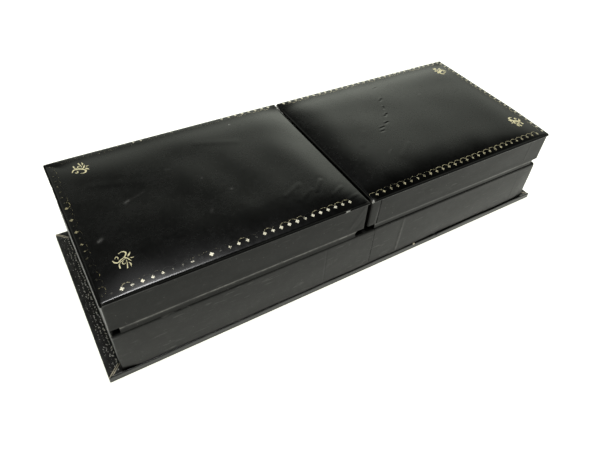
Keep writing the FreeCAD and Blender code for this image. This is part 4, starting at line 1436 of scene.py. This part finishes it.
def hinge_web(side, look):
    """The flexing strip of leatherette in the groove between tray and lid."""
    low, high = box_mm(f"{side}_hinge_strip")
    bottom, top = low[2], high[2]
    skin = look.skin / MM - 0.05
    sag = look.sag / MM * WEB_SAG[side]
    face = box_mm("tray_cover")[0][1]
    along = low[0] + spaced(high[0] - low[0], 1.4) * (high[0] - low[0])
    rows = []
    split_end = high[0] if side == "left" else low[0]
    for layer, fold in enumerate((WEB_FOLD, WEB_FOLD[::-1])):
        for height, bowed in fold:
            level = np.full(len(along), bottom + height)
            waver = 0.05 * gentle_waves(along, level, f"{side}_web", 30.0)
            y = face + (sag + waver) * bowed + layer * skin
            cut = 0.9 * bowed * bell(along - split_end, 0.8)
            x = along + SIGN[side] * cut
            rows.append(np.column_stack([x, y, level]))
    count = len(along)
    total = len(rows)
    points = np.concatenate(rows)
    faces = []
    for row in range(total):
        here, there = row * count, (row + 1) % total * count
        for column in range(count - 1):
            faces.append((here + column, here + column + 1, there + column + 1, there + column))
    faces.append([row * count for row in range(total - 1, -1, -1)])
    faces.append([row * count + count - 1 for row in range(total)])
    # The painted value here is a highlight along the web's upper fold, full on the left web and faint on the
    # right.
    patches = np.clip(0.95 + 0.3 * gentle_waves(points[:, 0], points[:, 2], "web_highlight", 14.0), 0, 1)
    worn = 1.0 if side == "left" else 0.05 + 0.45 * np.clip((points[:, 0] - 55.0) / 40.0, 0, 1)
    rub_and_highlight = worn * patches * bell(points[:, 2] - top + 1.10, 0.50)
    material = covering("lid_leatherette", look)
    # The right web's lower rows are painted matt black as shade in the groove.
    shaded = range(count - 1, 3 * (count - 1)) if side == "right" else ()
    piece = make_piece(f"{side}_hinge_web", points, faces, material, {"rub_and_highlight": rub_and_highlight}, crisp=60.0, shaded=shaded)
    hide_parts(f"{side}_hinge_strip")
    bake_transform(piece)
    return piece


def opening_box(name):
    """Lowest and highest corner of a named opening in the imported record, in millimetres."""
    for opening in frame["record"]["physics"]["openings"]:
        if opening["name"] == name:
            return [np.array(corner) / MM for corner in opening["box_m"]]
    return None


def slot_distances(side, x, y):
    """Signed distance from the nearest recess of a bed: negative inside it."""
    nearest = np.full(np.shape(x), 50.0)
    for number in range(1, 9):
        box = opening_box(f"{side}_slot_{number}")
        if box is None:
            break
        low, high = box
        middle = 0.5 * (low[1] + high[1])
        away = line_distance(x, y, low[0], middle, high[0], middle) - 0.5 * (high[1] - low[1]) - 0.1
        nearest = np.minimum(nearest, away)
    low, high = opening_box(f"{side}_finger_channel")
    corner, melt = 2.0, 1.5
    over_x = np.abs(x - 0.5 * (low[0] + high[0])) - 0.5 * (high[0] - low[0]) + corner
    over_y = np.abs(y - 0.5 * (low[1] + high[1])) - 0.5 * (high[1] - low[1]) + corner
    past_corner = np.hypot(np.maximum(over_x, 0), np.maximum(over_y, 0))
    outside = past_corner + np.minimum(np.maximum(over_x, over_y), 0) - corner
    blend = np.clip(0.5 + 0.5 * (outside - nearest) / melt, 0, 1)
    return outside * (1 - blend) + nearest * blend - melt * blend * (1 - blend)


def bed_lines(length):
    """Grid lines across a bed, closer at both edges."""
    edge = np.array([0.0, 0.25, 0.7])
    return np.concatenate([edge, np.linspace(1.4, length - 1.4, round(length / 0.72)), length - edge[::-1]])


def velvet_bed(side, look):
    """One velvet bed with soft-edged recesses for the instruments."""
    low, high = box_mm(f"{side}_bed")
    floor = opening_box(f"{side}_slot_1")[0][2] - 0.1
    lines_x, lines_y = low[0] + bed_lines(high[0] - low[0]), low[1] + bed_lines(high[1] - low[1])
    x, y = np.meshgrid(lines_x, lines_y, indexing="ij")
    away = slot_distances(side, x, y)
    soft, slope, brim = look.edge_round / MM, 1.1, 0.9
    wall = np.clip(-away / slope, 0, 1)
    drop = (high[2] - floor) * wall * wall * (3 - 2 * wall)
    rounded = brim * np.clip(1 - away / soft, 0, 1) ** 2 * (away > 0) + brim * (away <= 0) * (1 - wall)
    fillet = 1.2 * np.clip(1 + (away + slope) / 2.6, 0, 1) ** 2 * (away < -slope)
    rim = np.minimum(np.minimum(x - low[0], high[0] - x), np.minimum(y - low[1], high[1] - y))
    z = high[2] - drop - rounded + fillet - 0.7 * np.clip(1 - rim / 0.9, 0, 1) ** 2
    z = z + 0.05 * gentle_waves(x, y, f"{side}_bed", 12.0) - 0.05
    points, number, border = point_grid(x, y, z)
    foot = points[border].copy()
    foot[:, 2] = low[2] + 0.02
    lower = np.arange(len(points), len(points) + len(border))
    faces = grid_faces(number) + skirt_faces(lower, border)
    faces.append(lower[::-1].tolist())
    material = finish_named("bed_velvet", velvet_finish, look)
    piece = make_piece(f"{side}_velvet_bed", np.concatenate([points, foot]), faces, material, crisp=65.0)
    return fit_piece(piece, "base", (f"{side}_bed",))


def satin_lining(side, look):
    """One padded satin lining, tucked round its edge and bowed down into the lid."""
    low, high = box_mm(f"{side}_lid_lining")
    across, deep = high[0] - low[0], high[1] - low[1]
    from_left, from_hinge, edge_x, edge_y = padded_grid(across, deep, 1.0)
    level = quarter_round(edge_x, SATIN_SHOULDER) * quarter_round(edge_y, SATIN_SHOULDER)
    moved_x, moved_y = round_corners(edge_x, edge_y, CORNER_ZONE, 3.0)
    pull_x = 0.5 * np.sin(np.pi * from_hinge / deep) * np.exp(-edge_x / 4.0)
    pull_y = 0.5 * np.sin(np.pi * from_left / across) * np.exp(-edge_y / 4.0)
    x = low[0] + np.where(from_left < across / 2, moved_x + pull_x, across - moved_x - pull_x)
    y = low[1] + np.where(from_hinge < deep / 2, moved_y + pull_y, deep - moved_y - pull_y)
    edge = np.minimum(edge_x, edge_y)
    run = np.where(edge_x < edge_y, from_hinge, from_left)
    chance = np.random.default_rng(TUCK_SEED)
    tucks = np.sin(2 * math.pi * run / 6.3 + 1.3 * np.sin(run / 7.1) + chance.uniform(0, 6))
    tucks = tucks * (0.62 + 0.38 * np.sin(run / 11.3 + 1.7) * np.sin(run / 4.9))
    pucker = look.tuck / MM * tucks * np.exp(-((edge - 2.2) / 3.2) ** 2)
    puff = 0.10 * gentle_waves(x, y, f"{side}_lining", 26.0) * level
    hem = low[2] + SATIN_HEM
    z = hem - (hem - low[2] - 0.15) * level + pucker + puff
    points, number, border = point_grid(x, y, z)
    faces = [(first, fourth, third, second) for first, second, third, fourth in grid_faces(number)]
    loop = points[border, :2]
    outward = loop_directions(loop)
    rows, lower, total = [points], border, len(points)
    for inset, height in ((-0.02, hem + 0.6), (0.0, hem + 2.0), (0.15, high[2] - 2.0), (0.5, high[2] - 0.15)):
        rows.append(np.column_stack([loop - (inset + 0.03) * outward, np.full(len(loop), height)]))
        upper = np.arange(total, total + len(loop))
        faces += skirt_faces(lower, upper)
        lower, total = upper, total + len(loop)
    faces.append(lower.tolist())
    material = finish_named("lid_satin", satin_finish, look)
    piece = make_piece(f"{side}_satin_lining", np.concatenate(rows), faces, material, crisp=75.0)
    fit_piece(piece, f"{side}_lid", (f"{side}_lid_lining",))
    return piece


def dress_boards(look):
    """Give every board, neck and paper of the frame its own finish."""
    for name, node in frame["nodes"].items():
        if name.endswith("_neck"):
            finish = fibre("black_paper", look.paper)
        elif name == "tray_divider":
            finish = fibre("stained_bar", tuple(1.3 * part for part in look.paper))
        elif name == "base_lining":
            finish = fibre("lining_paper", look.paper)
        else:
            finish = fibre("grey_board", look.board)
        node.data.materials.clear()
        node.data.materials.append(finish)


def panel_board(side, look):
    """The board under one padded top, its upper edge bevelled so that the leather turns over it smoothly."""
    low, high = box_mm(f"{side}_lid_board")
    shares = np.linspace(0, 1, 7)
    rows = []
    bevel = ((0.0, 0.0), (0.0, 0.10), (0.35, 0.35), (0.9, 0.55), (2.0, 0.78), (3.5, 1.0))
    for inset, height in (*bevel, (6.0, high[2] - low[2])):
        loop, _ = wall_loop((*low[:2], *high[:2]), 1.5, inset, shares, shares)
        rows.append(np.column_stack([loop, np.full(len(loop), low[2] + height)]))
    count = len(rows[0])
    faces = ring_faces(len(rows), count, closed=False)
    faces.append(tuple(range(count - 1, -1, -1)))
    faces.append(tuple(range((len(rows) - 1) * count, len(rows) * count)))
    material = fibre("grey_board", look.board)
    piece = make_piece(f"{side}_panel_board", np.concatenate(rows), faces, material, crisp=30.0)
    return fit_piece(piece, f"{side}_lid", (f"{side}_lid_board",))


def stage_floor(look):
    """A wide pale floor with an even light of its own."""
    material, tree, shader, place = new_finish("pale_floor")
    cloud = grain(tree, place, 60.0, 3.0)
    paler = tuple(min(1.0, 1.03 * part) for part in look.floor)
    use(tree, shader, Base_Color=tint(tree, cloud, look.floor, paler), Roughness=0.9, Specular_IOR_Level=0.1)
    use(tree, shader, Emission_Color=(1.0, 1.02, 0.86, 1.0), Emission_Strength=look.glow)
    reach = 4000.0
    lines = np.linspace(-reach, reach, 9)
    x, y = np.meshgrid(lines, lines, indexing="ij")
    points, number, _ = point_grid(x, y, np.full_like(x, -0.02))
    make_piece("floor", points, grid_faces(number), material)


def stage_surround(look):
    """A soft surround, bright near the horizon and dim overhead."""
    world = bpy.data.worlds.new("studio")
    world.use_nodes = True
    tree = world.node_tree
    tree.nodes.clear()
    place = add_node(tree, "ShaderNodeTexCoord").outputs["Generated"]
    height = add_node(tree, "ShaderNodeSeparateXYZ", {"Vector": place}).outputs["Z"]
    ramp = add_node(tree, "ShaderNodeValToRGB", {"Fac": height})
    while len(ramp.color_ramp.elements) < len(SURROUND_STOPS):
        ramp.color_ramp.elements.new(0.5)
    for element, (position, share) in zip(ramp.color_ramp.elements, SURROUND_STOPS):
        element.position = position
        element.color = (share, share * 1.05, share * 0.92, 1.0)
    parts = add_node(tree, "ShaderNodeSeparateXYZ", {"Vector": place}).outputs
    turn = combine(tree, "ARCTAN2", parts["X"], parts["Y"])
    away = combine(tree, "ABSOLUTE", combine(tree, "SUBTRACT", turn, look.bright_side), 0.0)
    near = remap(tree, away, 0.10, 0.34, 1.0, look.far_share)
    far = remap(tree, away, 0.5, 2.2, 1.0, 0.45)
    side = combine(tree, "MULTIPLY", near, far)
    strength = combine(tree, "MULTIPLY", side, look.surround)
    back = add_node(tree, "ShaderNodeBackground", {"Color": ramp.outputs["Color"], "Strength": strength})
    add_node(tree, "ShaderNodeOutputWorld", {"Surface": back.outputs["Background"]})
    bpy.context.scene.world = world


def placed(right, up, back, place):
    """A placement from its three directions and its place."""
    rows = [(*values, place[row]) for row, values in enumerate(zip(right, up, back))]
    return Matrix(rows + [(0, 0, 0, 1)])


def stage_light(name, place, aim, size, power):
    """One square soft light."""
    lamp = bpy.data.lights.new(name, "AREA")
    lamp.shape = "SQUARE"
    lamp.size = size
    lamp.energy = power
    light = bpy.data.objects.new(name, lamp)
    back = np.array(place, float) - np.array(aim, float)
    back = back / np.linalg.norm(back)
    right = np.cross((0, 0, 1), back)
    right = right / np.linalg.norm(right)
    up = np.cross(back, right)
    light.matrix_world = placed(right, up, back, place)
    bpy.context.scene.collection.objects.link(light)


def stage_camera(look):
    """The camera, placed to see the case as the photograph does."""
    lens = bpy.data.cameras.new("view")
    lens.sensor_width = 36.0
    lens.lens = look.lens
    lens.clip_start = 0.01
    lens.clip_end = 50.0
    camera = bpy.data.objects.new("view", lens)
    turn, rise, roll = look.azimuth, look.elevation, look.roll
    back = np.array([math.sin(turn) * math.cos(rise), -math.cos(turn) * math.cos(rise), math.sin(rise)])
    level = np.cross((0, 0, 1), back)
    level = level / np.linalg.norm(level)
    upright = np.cross(back, level)
    right = math.cos(roll) * level + math.sin(roll) * upright
    up = -math.sin(roll) * level + math.cos(roll) * upright
    camera.matrix_world = placed(right, up, back, look.camera_place)
    bpy.context.scene.collection.objects.link(camera)
    bpy.context.scene.camera = camera


class DRAFTING_CASE_OT_leather_tops(bpy.types.Operator):
    """Stretch black leather over the padded tops of both lids"""

    bl_idname = "drafting_case.leather_tops"
    bl_label = "Leather Tops"

    def execute(self, context):
        for side in SIDES:
            leather_top(side, context.scene.drafting_case.tops)
        return {"FINISHED"}


class DRAFTING_CASE_OT_base_leather(bpy.types.Operator):
    """Cover the base board with leather and mitre its corners"""

    bl_idname = "drafting_case.base_leather"
    bl_label = "Base Leather"

    def execute(self, context):
        base_leather(context.scene.drafting_case.wraps)
        base_mitres(context.scene.drafting_case.wraps)
        return {"FINISHED"}


class DRAFTING_CASE_OT_tray_wrap(bpy.types.Operator):
    """Wrap the tray in leatherette"""

    bl_idname = "drafting_case.tray_wrap"
    bl_label = "Tray Wrap"

    def execute(self, context):
        tray_wrap(context.scene.drafting_case.wraps)
        return {"FINISHED"}


class DRAFTING_CASE_OT_lid_wraps(bpy.types.Operator):
    """Wrap both lids in leatherette"""

    bl_idname = "drafting_case.lid_wraps"
    bl_label = "Lid Wraps"

    def execute(self, context):
        for side in SIDES:
            lid_wrap(side, context.scene.drafting_case.wraps)
        return {"FINISHED"}


class DRAFTING_CASE_OT_hinge_webs(bpy.types.Operator):
    """Hang the flexing hinge webs between tray and lids"""

    bl_idname = "drafting_case.hinge_webs"
    bl_label = "Hinge Webs"

    def execute(self, context):
        for side in SIDES:
            hinge_web(side, context.scene.drafting_case.wraps)
        return {"FINISHED"}


class DRAFTING_CASE_OT_gold_tooling(bpy.types.Operator):
    """Press the gold borders and corner sprays into the leather"""

    bl_idname = "drafting_case.gold_tooling"
    bl_label = "Gold Tooling"

    def execute(self, context):
        case = context.scene.drafting_case
        for side in SIDES:
            lid_tooling(side, case.gold, case.tops)
        base_tooling(case.gold, case.tops)
        return {"FINISHED"}


class DRAFTING_CASE_OT_velvet_beds(bpy.types.Operator):
    """Lay the velvet beds in the tray"""

    bl_idname = "drafting_case.velvet_beds"
    bl_label = "Velvet Beds"

    def execute(self, context):
        for side in SIDES:
            velvet_bed(side, context.scene.drafting_case.linings)
        return {"FINISHED"}


class DRAFTING_CASE_OT_satin_linings(bpy.types.Operator):
    """Fit the padded satin linings into the lids"""

    bl_idname = "drafting_case.satin_linings"
    bl_label = "Satin Linings"

    def execute(self, context):
        for side in SIDES:
            satin_lining(side, context.scene.drafting_case.linings)
        return {"FINISHED"}


class DRAFTING_CASE_OT_boards(bpy.types.Operator):
    """Finish the boards, necks and papers of the frame"""

    bl_idname = "drafting_case.boards"
    bl_label = "Boards and Papers"

    def execute(self, context):
        look = context.scene.drafting_case.linings
        dress_boards(look)
        for side in SIDES:
            panel_board(side, look)
        return {"FINISHED"}


class DRAFTING_CASE_OT_stage(bpy.types.Operator):
    """Set the pale floor, the soft light and the camera"""

    bl_idname = "drafting_case.stage"
    bl_label = "Stage"

    def execute(self, context):
        look = context.scene.drafting_case.stage
        stage_floor(look)
        stage_surround(look)
        stage_light("lamp", *LAMP, look.key_power)
        stage_light("soft_window", *WINDOW, look.window_power)
        stage_camera(look)
        context.scene.view_settings.view_transform = "Standard"
        context.scene.view_settings.look = "None"
        return {"FINISHED"}


class DRAFTING_CASE_PT_pieces(bpy.types.Panel):
    """Pieces of the drafting instrument case"""

    bl_idname = "DRAFTING_CASE_PT_pieces"
    bl_label = "Drafting Instrument Case"
    bl_space_type = "VIEW_3D"
    bl_region_type = "UI"
    bl_category = "Case"

    def draw(self, context):
        for operator in OPERATORS:
            self.layout.operator(operator.bl_idname)


SETTING_GROUPS = (
    LeatherTopSettings,
    GoldToolingSettings,
    LeatheretteSettings,
    LiningSettings,
    StageSettings,
    DraftingCaseSettings,
)
OPERATORS = (
    DRAFTING_CASE_OT_boards,
    DRAFTING_CASE_OT_leather_tops,
    DRAFTING_CASE_OT_base_leather,
    DRAFTING_CASE_OT_tray_wrap,
    DRAFTING_CASE_OT_lid_wraps,
    DRAFTING_CASE_OT_hinge_webs,
    DRAFTING_CASE_OT_gold_tooling,
    DRAFTING_CASE_OT_velvet_beds,
    DRAFTING_CASE_OT_satin_linings,
    DRAFTING_CASE_OT_stage,
)
CLASSES = (*SETTING_GROUPS, *OPERATORS, DRAFTING_CASE_PT_pieces)


def register():
    """Register the settings, the operators and the panel."""
    for kind in CLASSES:
        bpy.utils.register_class(kind)
    bpy.types.Scene.drafting_case = bpy.props.PointerProperty(type=DraftingCaseSettings)


def unregister():
    """Take everything out again."""
    del bpy.types.Scene.drafting_case
    for kind in reversed(CLASSES):
        bpy.utils.unregister_class(kind)


def main():
    """Build every piece in order."""
    register()
    bpy.ops.drafting_case.boards()
    bpy.ops.drafting_case.leather_tops()
    bpy.ops.drafting_case.base_leather()
    bpy.ops.drafting_case.tray_wrap()
    bpy.ops.drafting_case.lid_wraps()
    bpy.ops.drafting_case.hinge_webs()
    bpy.ops.drafting_case.gold_tooling()
    bpy.ops.drafting_case.velvet_beds()
    bpy.ops.drafting_case.satin_linings()
    bpy.ops.drafting_case.stage()
    bpy.context.view_layer.update()


if __name__ == "__main__":
    main()
